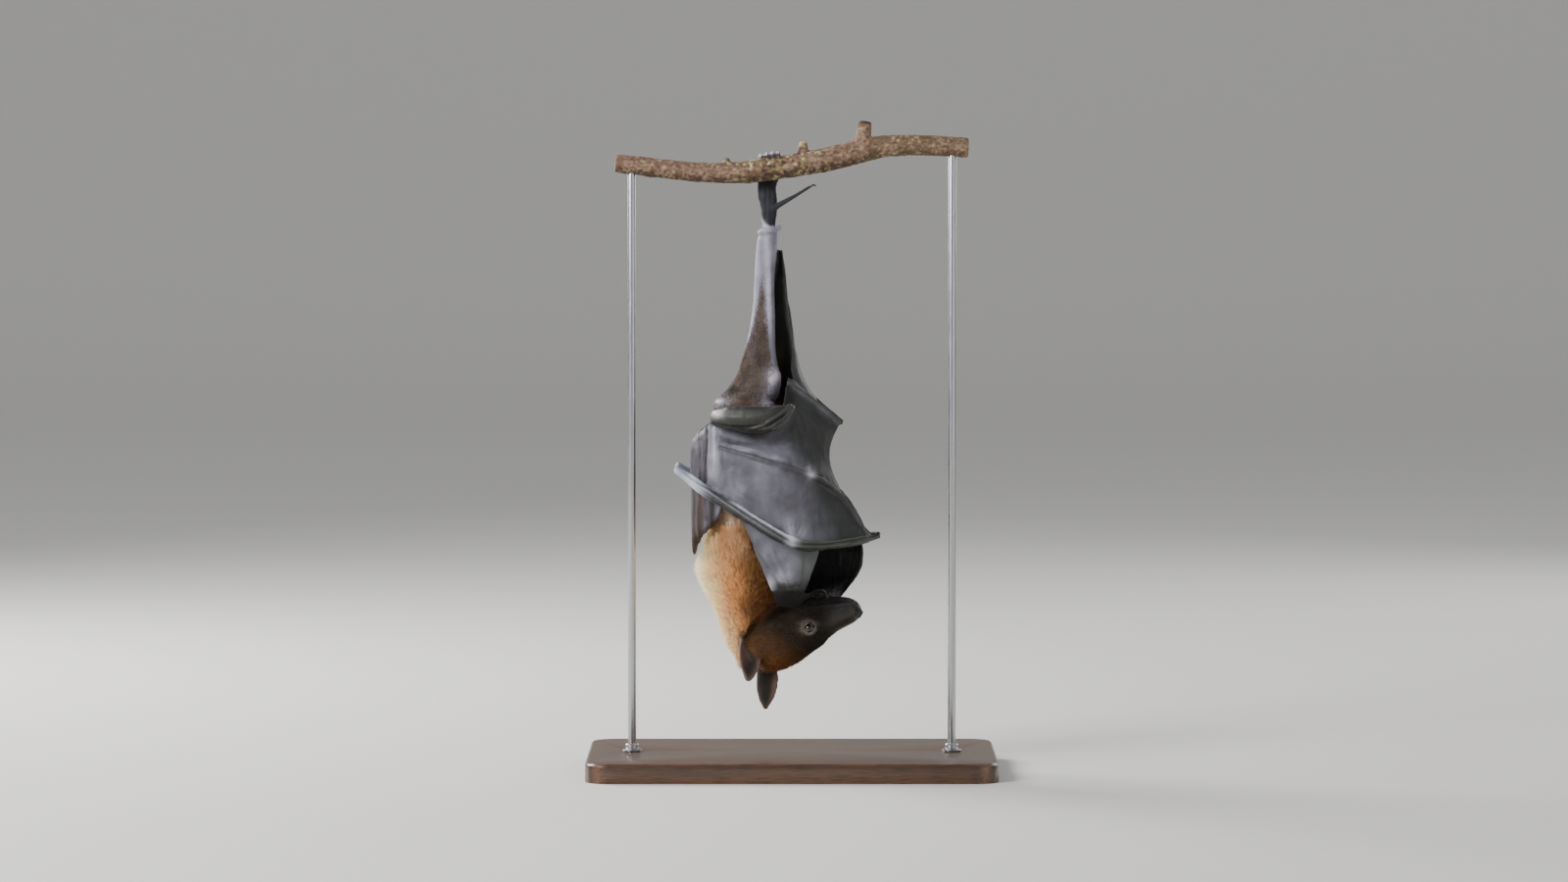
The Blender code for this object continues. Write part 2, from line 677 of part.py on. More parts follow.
# Down the forearm and the skin before it: left edge, right edge on the near wing and the far one
FOREARM = [
    (105, -10, 8.5, 30), (113, -12, 8.5, 36), (119, -14.5, 10.5, 41), (128, -18.5, 15, 46),
    (137, -23, 19.5, 48), (150, -29, 21, 44), (168, -38, 4, 20), (190, -42, -10, -6),
]
FAN_REST_Z = 136.0  # the forearm lies under the folded wing above this level
FOREARM_EDGE, BONE_RISE = 1.3, 1.6


def make_forearm(side, name):
    """The forearm and hand bones with the skin before them, from under the wing to the wrist."""
    outer, inner = [], []
    for z in steps(WRIST_Z[side], FOREARM[-1][0], 9):
        left, near, far = along(FOREARM, z)
        right = near if side < 0 else far
        rise = ease((FAN_REST_Z - z) / 12)
        lines = ([], [])
        for share in steps(0, 1, 7):
            x = left + (right - left) * share
            lift = UNDER_FAN * (1 - rise)
            bone = BONE_RISE * math.exp(-((share / 0.25) ** 2)) * rise
            wall = FOREARM_EDGE + (ARM_WALL - FOREARM_EDGE) * (1 - ease(share / 0.6))
            lines[0].append(on_wing(x, z, lift + bone, side))
            lines[1].append(on_wing(x, z, lift - wall, side))
        outer.append(lines[0])
        inner.append(lines[1])
    add_body(name, *walled(outer, inner), SKIN_SLATE, 0.5)


WRIST_HEIGHT, WRIST_X = 9.7, -1.2
WRIST_WIDE, WRIST_DEEP = 9.6, 5.2
WRIST_SIZES = [(0, 1.0), (0.3, 1.08), (0.6, 0.98), (0.85, 0.7), (1, 0.3)]  # down the wrist
# The thumb: x, depth and height over the wrist, and its radii to the claw
THUMB = [(3, 40, -4.5), (10, 37.5, -2.5), (15.5, 34, 0.5), (19.5, 31.5, -0.5), (21, 30.5, -3.5)]
THUMB_RADII = [2.0, 1.8, 1.6, 1.1, 0.5]


def make_wrist(side, name):
    """The folded wrist, with the thumb laid forwards from it."""
    top = WRIST_Z[side] - GAP
    rings = []
    for share, size in WRIST_SIZES:
        z = top - WRIST_HEIGHT * share
        middle = on_wing(WRIST_X, z, -2.0, side)
        wide, deep = WRIST_WIDE * size, WRIST_DEEP * size
        turns = [2 * math.pi * k / 12 for k in range(12)]
        rings.append(
            [(middle.x + wide * math.cos(t), middle.y + deep * math.sin(t), z) for t in turns]
        )
    wrist = add_body(name, *lofted(rings), SKIN_SLATE, 0.5)
    path = smooth_path([(x, side * y, top + z) for x, y, z in THUMB], 7)
    shape = tubed(path, smooth_radii(THUMB_RADII, 7), 6)
    combine(wrist, add_body("guide_thumb", *shape, SKIN_SLATE), "UNION")


# Each finger: x, z and lift of its joints, their radii, and how flat it is
FINGERS = {
    "3": (
        [
            (-50, 174.2, 4.2), (-25, 158, 4.0), (1, 142, 4.0), (20, 141.2, 3.3), (38, 142.8, 2.9),
            (52, 144.8, 2.3),
        ],
        [3.8, 3.6, 3.9, 3.2, 2.8, 1.8], 0.75,
    ),
    "4": (
        [(x, z, lift) for (x, z), lift in zip(FINGER_4, (2.6, 3.1, 3.0, 2.0, 2.0))],
        [1.0, 1.2, 1.7, 1.2, 1.0], 0.9,
    ),
    "5": ([(x, z, 1.8) for x, z in FINGER_5], [1.1, 1.1, 1.3], 0.9),
}
KNUCKLE = [(-71, 21.5, 186.5), (-62, 29, 181)]  # the third finger's knuckle, clear of the back


def make_finger(side, name, joints, radii, flatness, count, sides):
    path = [on_wing(x, z, lift, side) for x, z, lift in joints]
    if flatness < 0.8:
        path = [Vector((x, side * y, z)) for x, y, z in KNUCKLE] + path
        radii = [2.6, 3.4] + radii
    shape = tubed(smooth_path(path, count), smooth_radii(radii, count), sides, flatness)
    add_body(name, *shape, SKIN_SLATE, 0.45)


# Up the skin between leg and wing: x of its ends and of its bulge, depth of far and near end
WEB = [
    (219, 18, 20.5, 22.5, 12, -12), (222, 0, 17, 20, 12.6, -12.6), (225, -5.4, 13.5, 17.5, 13.2, -13.2),
    (229, -9.4, 9.8, 14.2, 14, -14), (236, -9.2, 2.8, 9.6, 15, -15), (243, -10.2, -1.8, 6.6, 15.5, -15.5),
    (251, -10.8, -0.4, 4.4, 13.5, -10.5), (260, -11.0, 0.2, 2.6, 11.5, -6.5),
    (271, -11.8, -1.0, 0.4, 9.8, -4), (293, -12.0, -3.4, -2.5, 7.8, -2.6), (320, -10.6, -6.4, -5.5, 5.6, -2),
]


def make_web():
    """The skin that runs from the right ankle down to the tip of the fifth finger."""
    outer, inner = [], []
    for z in steps(WEB[0][0], WEB[-1][0], 11):
        start, end, bulge, far, near = along(WEB, z)
        lines = ([], [])
        for place in steps(1, -1, 8):
            hold = math.sqrt(max(1 - abs(place) ** 2.2, 0))
            side = start if place > 0 else end
            x = side + (bulge - side) * hold
            y = far * place if place > 0 else -near * place
            out = Vector((hold + 0.15, place * 0.9)).normalized()
            lines[0].append((x, y, z))
            lines[1].append((x - out.x * WING_WALL, y - out.y * WING_WALL, z))
        outer.append(lines[0])
        inner.append(lines[1])
    add_body("wing_right_leg_web", *walled(outer, inner), SKIN_SLATE, 0.5)


def make_wings():
    for side, word in ((-1, "left"), (1, "right")):
        make_fan(side, f"wing_{word}_skin")
        make_upper_arm(side, f"wing_{word}_upper_arm")
        make_forearm(side, f"wing_{word}_forearm")
        make_wrist(side, f"wing_{word}_wrist")
        for number, (joints, radii, flatness) in FINGERS.items():
            count, sides = (14, 8) if number == "3" else (9, 6)
            make_finger(side, f"wing_{word}_finger_{number}", joints, radii, flatness, count, sides)
    make_web()


clear_scene()
make_base()
make_branch()
make_rods()
make_right_foot()
make_tucked_leg()
make_right_leg()
make_trunk()
make_neck()
make_head()
make_eyes()
make_ears()
make_wings()
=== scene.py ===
"""A fruit bat asleep, life size: it hangs by its right foot from a cut branch on a display stand.

Lengths in the sections are in millimetres and turned to metres by MM. +Z is up, +X is the way the
bat's belly and muzzle face, and its left wing is on the -Y side.
"""
import math

import bmesh
import bpy
import numpy as np
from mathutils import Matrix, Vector, noise
from mathutils.bvhtree import BVHTree
from mathutils.kdtree import KDTree


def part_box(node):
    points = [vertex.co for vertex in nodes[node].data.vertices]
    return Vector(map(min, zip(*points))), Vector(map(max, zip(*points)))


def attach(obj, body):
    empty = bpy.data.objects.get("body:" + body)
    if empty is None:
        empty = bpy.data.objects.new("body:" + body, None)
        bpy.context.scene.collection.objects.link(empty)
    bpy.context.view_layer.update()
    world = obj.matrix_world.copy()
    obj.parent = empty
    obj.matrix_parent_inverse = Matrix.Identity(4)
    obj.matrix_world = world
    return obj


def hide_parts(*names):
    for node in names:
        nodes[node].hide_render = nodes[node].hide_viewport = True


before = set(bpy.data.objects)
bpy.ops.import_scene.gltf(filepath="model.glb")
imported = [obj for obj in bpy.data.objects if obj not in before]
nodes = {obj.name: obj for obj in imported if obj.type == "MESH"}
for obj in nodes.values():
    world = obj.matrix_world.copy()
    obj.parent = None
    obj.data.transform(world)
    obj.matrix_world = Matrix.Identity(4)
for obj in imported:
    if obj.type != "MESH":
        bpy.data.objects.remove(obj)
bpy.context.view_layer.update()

MM = 0.001


# ---- Camera: level with the wings, far off, with a long lens

def look_at(thing, target):
    thing.rotation_euler = (target - thing.location).to_track_quat("-Z", "Y").to_euler()


bpy.ops.object.select_all(action="DESELECT")
bpy.ops.object.camera_add()
camera = bpy.context.object
camera.name = "camera"
aim = Vector((-4.8, 0, 202.6)) * MM
distance, rise = 4.0, math.radians(3)
sensor_mm, view_width = 36, 0.96  # the view's width in metres where it is aimed
camera.location = aim + Vector((0, -math.cos(rise), math.sin(rise))) * distance
look_at(camera, aim)
camera.data.sensor_width = sensor_mm
camera.data.lens = sensor_mm * distance / view_width
bpy.context.scene.camera = camera


# ---- Floor and light: a pale seamless sweep, its wall far enough back to look at the bat from
# behind, and large soft lamps, brightest from behind the bat's back so that its mane has a light rim

def srgb(code):
    """Linear colour of a hex code such as E8C8A0."""
    parts = [int(code[i:i + 2], 16) / 255 for i in (0, 2, 4)]
    return [c / 12.92 if c <= 0.04045 else ((c + 0.055) / 1.055) ** 2.4 for c in parts]


def set_inputs(tree, node, inputs):
    """Sets a shader node's inputs, each to a value or to another node's output."""
    for key, value in inputs.items():
        if isinstance(value, bpy.types.NodeSocket):
            tree.links.new(value, node.inputs[key])
        else:
            node.inputs[key].default_value = value


def add_node(tree, kind, inputs=None, **settings):
    """One shader node with its settings and inputs."""
    made = tree.nodes.new(kind)
    for key, value in settings.items():
        setattr(made, key, value)
    set_inputs(tree, made, inputs or {})
    return made


def new_material(name):
    """A named material and its node tree, with the Principled shader ready."""
    made = bpy.data.materials.new(name)
    made.use_nodes = True
    return made, made.node_tree, made.node_tree.nodes["Principled BSDF"]


def new_object(name, mesh):
    made = bpy.data.objects.new(name, mesh)
    bpy.context.scene.collection.objects.link(made)
    return made


floor_paint, tree, shader = new_material("matt_studio_paint")
set_inputs(tree, shader, {"Base Color": (*srgb("E4E2DD"), 1), "Roughness": 0.9})
sweep = bmesh.new()
sweep_reach, sweep_back, sweep_round, sweep_high = 7.0, 4.6, 1.6, 4.0
profile = [(-sweep_reach, 0.0), (sweep_back, 0.0)]
for turn in range(1, 13):
    angle = math.radians(turn * 7.5)
    profile.append((sweep_back + sweep_round * math.sin(angle), sweep_round * (1 - math.cos(angle))))
profile.append((sweep_back + sweep_round, sweep_high))
lines = [[sweep.verts.new((x, y, z)) for y, z in profile] for x in (-sweep_reach, sweep_reach)]
for i in range(len(profile) - 1):
    sweep.faces.new((lines[0][i], lines[1][i], lines[1][i + 1], lines[0][i + 1]))
floor = new_object("studio_sweep", bpy.data.meshes.new("studio_sweep"))
sweep.to_mesh(floor.data)
sweep.free()
floor.data.shade_smooth()
floor.data.materials.append(floor_paint)

lamps = (
    ("key", (-1.45, -1.35, 1.2), 0.8, 42),
    ("fill", (1.5, -1.3, 0.5), 1.2, 5),
    ("rim", (-1.1, 0.8, 0.9), 0.7, 30),
    ("back", (1.1, 1.4, 0.8), 0.9, 7),
)
for name, place, size, power in lamps:  # metres, watts
    bpy.ops.object.light_add(type="AREA", location=place)
    lamp = bpy.context.object
    lamp.name = f"lamp_{name}"
    lamp.data.size = size
    lamp.data.energy = power
    look_at(lamp, aim)
world = bpy.data.worlds.new("soft_room")
world.use_nodes = True
world.node_tree.nodes["Background"].inputs["Color"].default_value = (*srgb("F2F4F6"), 1)
world.node_tree.nodes["Background"].inputs["Strength"].default_value = 0.45
bpy.context.scene.world = world


# ---- Bat's skin: one hide over the head, neck, trunk, legs, feet, ears and both wings. It is made
# from the frame's flesh, thickened a little so that neighbours join, remeshed as one, and sunk by
# the depth of the coat wherever there is fur

FURRED = {"neck": 4.5, "trunk": 3.5, "head": 1.6, "leg_right": 1.2}  # depth of coat, mm
FLESH = [
    n for n in sorted(nodes) if n.startswith(("wing", "ear", "foot", "leg", "head", "neck", "trunk"))
]
JOIN_MM, VOXEL_MM = 0.35, 0.7
PRESS_MM = 1.5  # how far the slender fingers are pressed down on the wing skin
ELBOW_SINK_MM = 4.5  # how far the lower ends of the upper arms sink into the mane
ELBOW_TOP, ELBOW_LONG = 0.156, 0.014  # where that starts, and over what height, m
ELBOW_BACK, ELBOW_WIDE = -0.0605, 0.002  # the back edge, which stays
SHARP = math.radians(58)  # the cut ends and edges of the flesh, which stay full


def select_only(*objects):
    bpy.ops.object.select_all(action="DESELECT")
    for item in objects:
        item.select_set(True)
    bpy.context.view_layer.objects.active = objects[0]


def copy_of(node, name):
    """A clean, joined-up copy of a frame node's mesh as a new object."""
    work = bmesh.new()
    work.from_mesh(nodes[node].data)
    bmesh.ops.remove_doubles(work, verts=work.verts, dist=0.00001)
    bmesh.ops.join_triangles(
        work, faces=work.faces, angle_face_threshold=0.7, angle_shape_threshold=0.9
    )
    crease = work.edges.layers.float.new("crease_edge")
    for edge in work.edges:
        edge[crease] = 0.9 if edge.calc_face_angle(0) > SHARP else 0.0
    mesh = bpy.data.meshes.new(name)
    work.to_mesh(mesh)
    work.free()
    return new_object(name, mesh)


def apply_modifier(item, kind, **settings):
    change = item.modifiers.new(kind.lower(), kind)
    for key, value in settings.items():
        setattr(change, key, value)
    select_only(item)
    bpy.ops.object.modifier_apply(modifier=change.name)


def points_of(mesh):
    flat = np.empty(len(mesh.vertices) * 3)
    mesh.vertices.foreach_get("co", flat)
    return flat.reshape(-1, 3)


def normals_of(mesh):
    flat = np.empty(len(mesh.vertices) * 3)
    mesh.vertex_normals.foreach_get("vector", flat)
    return flat.reshape(-1, 3)


def set_points(mesh, points):
    mesh.vertices.foreach_set("co", points.ravel())
    mesh.update()


def edges_of(mesh):
    flat = np.empty(len(mesh.edges) * 2, dtype=np.int32)
    mesh.edges.foreach_get("vertices", flat)
    return flat.reshape(-1, 2)


def relaxed(values, edges, rounds, hold=None, step=1.0):
    """Values at the points, evened out with their neighbours'; hold keeps some as they are."""
    values = np.array(values, dtype=float)
    flat = values.reshape(len(values), -1)
    ends = np.concatenate((edges[:, 0], edges[:, 1]))
    others = np.concatenate((edges[:, 1], edges[:, 0]))
    count = np.maximum(np.bincount(ends, minlength=len(values)), 1)
    share = step if hold is None else step * (1 - hold)
    for _ in range(rounds):
        for column in range(flat.shape[1]):
            total = np.bincount(ends, weights=flat[others, column], minlength=len(values))
            flat[:, column] += (total / count - flat[:, column]) * share
    return flat.reshape(values.shape)


shells = []
source_points, source_faces, source_node = [], [], []
for index, node in enumerate(FLESH):
    shell = copy_of(node, f"shell_{node}")
    apply_modifier(shell, "SUBSURF", levels=1, render_levels=1)
    mesh = shell.data
    if node.endswith(("finger_4", "finger_5")):
        pressed = points_of(mesh)
        pressed[:, 1] -= np.sign(pressed[:, 1]) * PRESS_MM * MM
        set_points(mesh, pressed)
    if node.endswith("upper_arm"):
        sunk = points_of(mesh)
        share = np.clip((ELBOW_TOP - sunk[:, 2]) / ELBOW_LONG, 0, 1)
        share *= np.clip((sunk[:, 0] - ELBOW_BACK) / ELBOW_WIDE, 0, 1)
        sunk[:, 1] -= np.sign(sunk[:, 1]) * share * ELBOW_SINK_MM * MM
        set_points(mesh, sunk)
    first = len(source_points)
    source_points += [v.co.copy() for v in mesh.vertices]
    for face in mesh.polygons:
        source_faces.append([first + v for v in face.vertices])
        source_node.append(index)
    set_points(mesh, points_of(mesh) + normals_of(mesh) * JOIN_MM * MM)
    shells.append(shell)
source_tree = BVHTree.FromPolygons(source_points, source_faces)


def turn_outwards(mesh):
    """All faces of a closed mesh made to point out."""
    work = bmesh.new()
    work.from_mesh(mesh)
    bmesh.ops.recalc_face_normals(work, faces=work.faces)
    work.to_mesh(mesh)
    work.free()


def hull_shell(name, corners):
    """A shell over the corner points, which fills a gap between neighbours."""
    work = bmesh.new()
    for p in corners:
        work.verts.new(p)
    hull = bmesh.ops.convex_hull(work, input=work.verts)
    bmesh.ops.delete(work, geom=hull["geom_interior"], context="VERTS")
    made = new_object(name, bpy.data.meshes.new(name))
    work.to_mesh(made.data)
    work.free()
    shells.append(made)


EAR_FOOT_HIGH, EAR_FOOT_ROUND = 0.004, 0.0135  # metres
for node in ("ear_left", "ear_right"):  # the neck closes up round each ear's foot
    ear_mesh = points_of(nodes[node].data)
    root = ear_mesh[ear_mesh[:, 2] > ear_mesh[:, 2].max() - EAR_FOOT_HIGH].mean(axis=0)
    neck_mesh = points_of(nodes["neck"].data)
    hull_shell(f"fill_{node}", neck_mesh[np.linalg.norm(neck_mesh - root, axis=1) < EAR_FOOT_ROUND])
hull_shell("fill_flank", [  # the far edge of the leg's web grows out of the flank
    Vector(p) * MM for p in (
        (-14, 13, 221), (-14, 13, 232), (-3, 12.2, 222.5), (-8.4, 14, 232),
        (-14, 17, 221), (-3, 15, 222.5), (-14, 17, 232), (-8.4, 16, 232),
    )
])
select_only(*shells)
bpy.ops.object.join()
skin = bpy.context.object
skin.name = skin.data.name = "bat_skin"
apply_modifier(skin, "REMESH", mode="VOXEL", voxel_size=VOXEL_MM * MM, adaptivity=0)

# Which node each point came from, and the point in the head's own directions
def labelled(points):
    return np.array([source_node[source_tree.find_nearest(Vector(p))[2]] for p in points])


def is_node(labels, *words):
    """True where a point came from a node whose name starts with one of the words."""
    wanted = [i for i, node in enumerate(FLESH) if node.startswith(words)]
    return np.isin(labels, wanted)


HEAD_MIDDLE = np.array((-8.0, -2.0, 83.0))
head_turn, head_lift, head_roll = (math.radians(a) for a in (10, 18, 24))
to_nose = np.array((
    math.cos(head_lift) * math.cos(head_turn),
    -math.cos(head_lift) * math.sin(head_turn),
    math.sin(head_lift),
))
head_across = np.array((math.sin(head_turn), math.cos(head_turn), 0))
head_up = -np.cross(to_nose, head_across)
to_right = head_across * math.cos(head_roll) + head_up * math.sin(head_roll)
to_crown = head_up * math.cos(head_roll) - head_across * math.sin(head_roll)


def in_head(ahead, crown, right):
    """The place in mm of a point given along the head: to the nose, the crown and the right."""
    return HEAD_MIDDLE + to_nose * ahead + to_crown * crown + to_right * right


def head_parts(points_mm):
    away = points_mm - HEAD_MIDDLE
    return away @ to_nose, away @ to_crown, away @ to_right


def bump(distance, width):
    """A soft ridge, 1 in the middle and falling away over the width."""
    return np.exp(-((distance / width) ** 2))


def ramp(values, low, high):
    """0 below low, 1 above high and smooth between."""
    share = np.clip((values - low) / (high - low), 0, 1)
    return share * share * (3 - 2 * share)


def line_distance(points, line):
    """Distance in mm to a line of joints, and how far along it, 0 to 1, for each point."""
    line = np.array(line, dtype=float)
    lengths = np.linalg.norm(np.diff(line, axis=0), axis=1)
    starts = np.concatenate(([0], np.cumsum(lengths)))
    nearest, place = np.full(len(points), 1e9), np.zeros(len(points))
    for i, (a, b) in enumerate(zip(line, line[1:])):
        share = np.clip((points - a) @ (b - a) / lengths[i] ** 2, 0, 1)
        gap = np.linalg.norm(points - (a + share[:, None] * (b - a)), axis=1)
        closer = gap < nearest
        nearest[closer] = gap[closer]
        place[closer] = ((starts[i] + share * lengths[i]) / starts[-1])[closer]
    return nearest, place


def height_of(line, x):
    """How high a line of (x, z) joints runs at each x."""
    return np.interp(x, [p[0] for p in line], [p[1] for p in line])


# Lines along the bat, x and z of each joint: the third finger, the lower edge of the tucked foot,
# the upper edge of the ankle's cuff, and the mouth given along the head and to the crown
FINGER_3 = [
    (-71, 187), (-62, 181), (-50, 174.2), (-25, 158), (1, 142), (20, 141.2), (38, 142.8), (52, 144.8),
]
BAR_FOOT = [(-46, 215.8), (-38, 214.2), (-26, 214.4), (-15, 216.4), (-6, 221.8), (0, 227.0)]
CUFF_TOP = [(-22, 341), (-18.5, 339), (-17, 336.6), (-12.6, 333.6), (-6, 333.2)]
MOUTH = [(20, -8.6), (36, -8.2), (52, -5.2)]
KNEE = (-9.0, 240.0)


def bar_shade(points_mm):
    """1 on the fan in the deep shade right under the tucked foot, and 0 elsewhere."""
    x, y, z = points_mm.T
    below = height_of(BAR_FOOT, x) + 1.0 - z
    full = 0.15 + 0.85 * bump((x + 20) / 16, 1.0)
    shade = ramp(below, -1.5, 0) * (1 - ramp(below / full, 8.5, 11.5)) * ramp(x, -46, -40)
    return shade * (1 - ramp(x, -4, 4)) * (y < 0)


def bare_leg(points_mm):
    """1 on the leg's smooth fold of skin, its knee and its ankle, and 0 in its fur."""
    x, y, z = points_mm.T
    edge = np.where(y < 1, -13.8 - 0.09 * (z - 263), -11.0)
    fold = ramp(x - edge, -0.8, 0.8) * ramp(z, 245, 253)
    knee = bump(np.hypot((x - KNEE[0]) / 5.5, (z - KNEE[1]) / 8.0), 1.0) * (y < 3)
    below = bump(np.hypot((x + 11) / 6.5, (z - 227.5) / 4.5), 1.0) * (y < 3)
    back_edge = np.interp(
        z, (239, 245, 257, 269, 281, 305, 325), (-36.3, -33.5, -29.9, -26.6, -24.5, -23.4, -21.3)
    )
    wide = np.interp(z, (240, 262, 278, 293, 305), (0.6, 1.8, 3.0, 4.5, 6.0))
    hem = ramp(back_edge + wide - x, 0, 0.9) * ramp(z, 244, 252) * ramp(-y, -1.5, 0.5)
    return np.clip(fold + 1.5 * knee + 1.5 * below + hem + ramp(z, 312, 322), 0, 1)


def hip_fold(points_mm):
    """1 on the pale fold of skin over the tucked heel, and 1 in the hollow above it."""
    x, y, z = points_mm.T
    fold = bump(np.hypot((x + 44.5) / 6.5, (z - 226.8) / 2.8), 1.0) * (y < 0)
    hollow = bump(np.hypot((x + 37.5) / 4.2, (z - 233.0) / 2.2), 1.0) * (y < 0)
    return fold, hollow


edges = edges_of(skin.data)
points = points_of(skin.data)
labels = labelled(points)
seam = labels[edges[:, 0]] != labels[edges[:, 1]]
near_seam = np.zeros(len(points))
near_seam[edges[seam].ravel()] = 1.0
furry = is_node(labels, "neck", "trunk", "head", "leg_right")
near_seam = relaxed(near_seam * furry, edges, 12)
near_seam = np.clip(near_seam / max(near_seam.max(), 1e-6) * 2.2, 0, 1)
for _ in range(3):
    points = relaxed(points, edges, 2, step=0.55)
    points = relaxed(points, edges, 2, step=-0.5)
points = relaxed(points, edges, 2, step=0.6)
points = relaxed(points, edges, 22, hold=1 - near_seam)
set_points(skin.data, points)

# The skin sinks by the depth of the coat, which thins out towards the muzzle and the leg's fold
mm = points * 1000
ahead, _, _ = head_parts(mm)
on_head = is_node(labels, "head")
depth = np.zeros(len(points))
for node, coat in FURRED.items():
    depth[is_node(labels, node)] = coat
depth[on_head] *= 1 - 0.9 * ramp(ahead[on_head], 10, 34)
on_neck, on_trunk = is_node(labels, "neck"), is_node(labels, "trunk")
depth[on_neck] *= 0.3 + 0.7 * ramp(mm[on_neck, 2], 68, 96)
depth[on_trunk] *= 1 - 0.65 * ramp(mm[on_trunk, 2], 205, 224)
on_leg = is_node(labels, "leg_right", "trunk")
depth[on_leg] *= 1 - np.clip(bare_leg(mm[on_leg]) + hip_fold(mm[on_leg])[0] * 1.4, 0, 1)
in_wing = is_node(labels, "wing", "ear", "foot", "leg_left")
depth = relaxed(depth, edges, 14, hold=in_wing * 1.0) + JOIN_MM * 0.7
normals = normals_of(skin.data)
points = points - normals * depth[:, None] * MM
points = relaxed(points, edges, 16, hold=1 - near_seam)

# Bones, folds and features, each a rise in mm along the surface
mm = points * 1000
x, y, z = mm.T
flat = mm[:, [0, 2]]
ahead, crown, right = head_parts(mm)
outward = normals[:, 1] * np.sign(y)
outer_face = ramp(outward, 0.05, 0.35)
on_fan = is_node(labels, "wing_left_skin", "wing_right_skin") * outer_face
rise = np.zeros(len(points))

# Wing skin gathered at the joints of the fingers, and hanging in folds behind the elbow
THIRD_JOINT, FOURTH_JOINT = (1.0, 142.0), (12.0, 183.0)
for joint, spokes, reach in (
    (THIRD_JOINT, (62, 76, 88, 101, 116, 134), 17),
    (FOURTH_JOINT, (98, 28, 8, 232, 262, 296), 8),
):
    away = flat - joint
    radius = np.linalg.norm(away, axis=1)
    angle = np.degrees(np.arctan2(away[:, 1], away[:, 0]))
    for spoke in spokes:
        turn = (angle - spoke + 180) % 360 - 180
        line = bump(np.radians(turn) * radius, 0.75) * (np.abs(turn) < 60)
        rise += 0.55 * line * ramp(radius, 1.5, 4) * (1 - ramp(radius, reach * 0.5, reach)) * on_fan
FOLDS = (
    ([(-49.5, 213), (-49.8, 198), (-51.5, 184)], 1.3, 1.2),
    ([(-46.5, 212), (-46.6, 199), (-46.5, 184)], 1.1, 1.0),
    ([(-43.6, 206), (-43, 194), (-41.5, 183)], 0.8, 0.9),
    ([(-48.5, 195), (-49, 190), (-49.5, 184)], 0.9, 0.7),
    ([(-44, 194), (-43.4, 189), (-44, 183)], 0.8, 0.7),
    ([(-41, 203), (-30, 201), (-10, 196), (6, 188)], 1.1, 2.0),
    ([(-36, 186), (-20, 178), (-4, 172), (8, 178)], 0.8, 2.6),
    ([(-28, 196), (-8, 201), (8, 206)], 0.5, 2.4),
    ([(0, 217), (4, 205), (10, 188)], 0.6, 1.6),
    ([(8, 222), (12, 206), (13, 188)], 0.5, 1.5),
    ([(-10, 150), (-22, 166), (-38, 176)], 0.5, 2.0),
    ([(-3, 236), (6, 214), (14, 188)], 0.35, 2.2),
    ([(3, 147), (8, 160), (24, 168)], 0.35, 2.4),
    ([(-2, 147), (-10, 168), (-20, 188)], 0.3, 2.6),
    ([(12, 181), (4, 168), (-12, 160)], 0.35, 1.8),
)
for line, high, wide in FOLDS:
    gap, place = line_distance(flat, line)
    rise += high * bump(gap, wide) * (1 - ramp(place, 0.75, 1)) * on_fan

# The third finger's two bones side by side, with tendon lines along them
BAND_GROOVES = ((1.4, 1.1), (-2.4, 0.6))  # over the bone's middle, depth
_, place = line_distance(flat, FINGER_3)
band = is_node(labels, "wing_left_finger_3", "wing_right_finger_3") * outer_face
over = z - height_of(FINGER_3, x)
for groove, deep in BAND_GROOVES:
    rise -= deep * bump(over - groove, 0.75) * band * ramp(place, 0.02, 0.08)
rise += 0.7 * bump(flat[:, 0] - 1, 3.2) * band  # the knuckle between them

# The forearm: its bone along the back edge and tendons that gather at the wrist
arm = is_node(labels, "wing_left_forearm", "wing_right_forearm") * outer_face
for line, high, wide in (
    ([(-24, 140), (-12, 122), (-6, 112)], 0.7, 1.3),
    ([(-12, 138), (-4, 122), (-1, 112)], 0.5, 1.2),
    ([(6, 138), (5, 122), (3, 112)], 0.6, 1.4),
    ([(-10, 119), (-4, 116.5), (4, 118)], 0.6, 0.9),
    ([(-9, 115), (-2, 114), (5, 115)], 0.5, 0.8),
):
    gap, _ = line_distance(flat, line)
    rise += high * bump(gap, wide) * arm

# The upper arm hangs in long creases
slack = is_node(labels, "wing_left_upper_arm", "wing_right_upper_arm") * outer_face
for crease_x in (-60.5, -56.5, -53.0, -49.0):
    wander = 0.7 * np.sin(z / 9.0 + crease_x)
    rise += 0.75 * bump(x - crease_x - wander, 0.9) * slack

# The tucked foot is wrapped in skin that gathers in curved folds below it
POUCH_FOLDS = (
    [(-30, 210.4), (-17, 214.6), (-7, 221.4), (-1, 226.0)],
    [(-23, 209.6), (-12, 213.8), (-4.8, 219.4), (0.7, 225.6)],
    [(-16, 209.4), (-7.5, 213.8), (-2.0, 218.6), (1.6, 224.6)],
)
pouch = is_node(labels, "leg_left", "foot_left") * ramp(-normals[:, 1], -0.2, 0.3)
under_bar = height_of(BAR_FOOT, x) - z
rise -= 1.7 * ramp(under_bar, -0.8, 1.4) * pouch
for line in POUCH_FOLDS:
    gap, place = line_distance(flat, line)
    rise += 1.9 * bump(gap, 0.95) * ramp(place, 0.0, 0.3) * pouch
rise += 0.6 * bump(under_bar + 5.0, 1.8) * pouch
rise += 1.1 * bump(np.hypot(x + 45.6, z - 221.4), 2.2) * pouch
rise -= 0.8 * bump(np.hypot((x + 45.6) / 1.6, z - 218.4), 0.8) * pouch

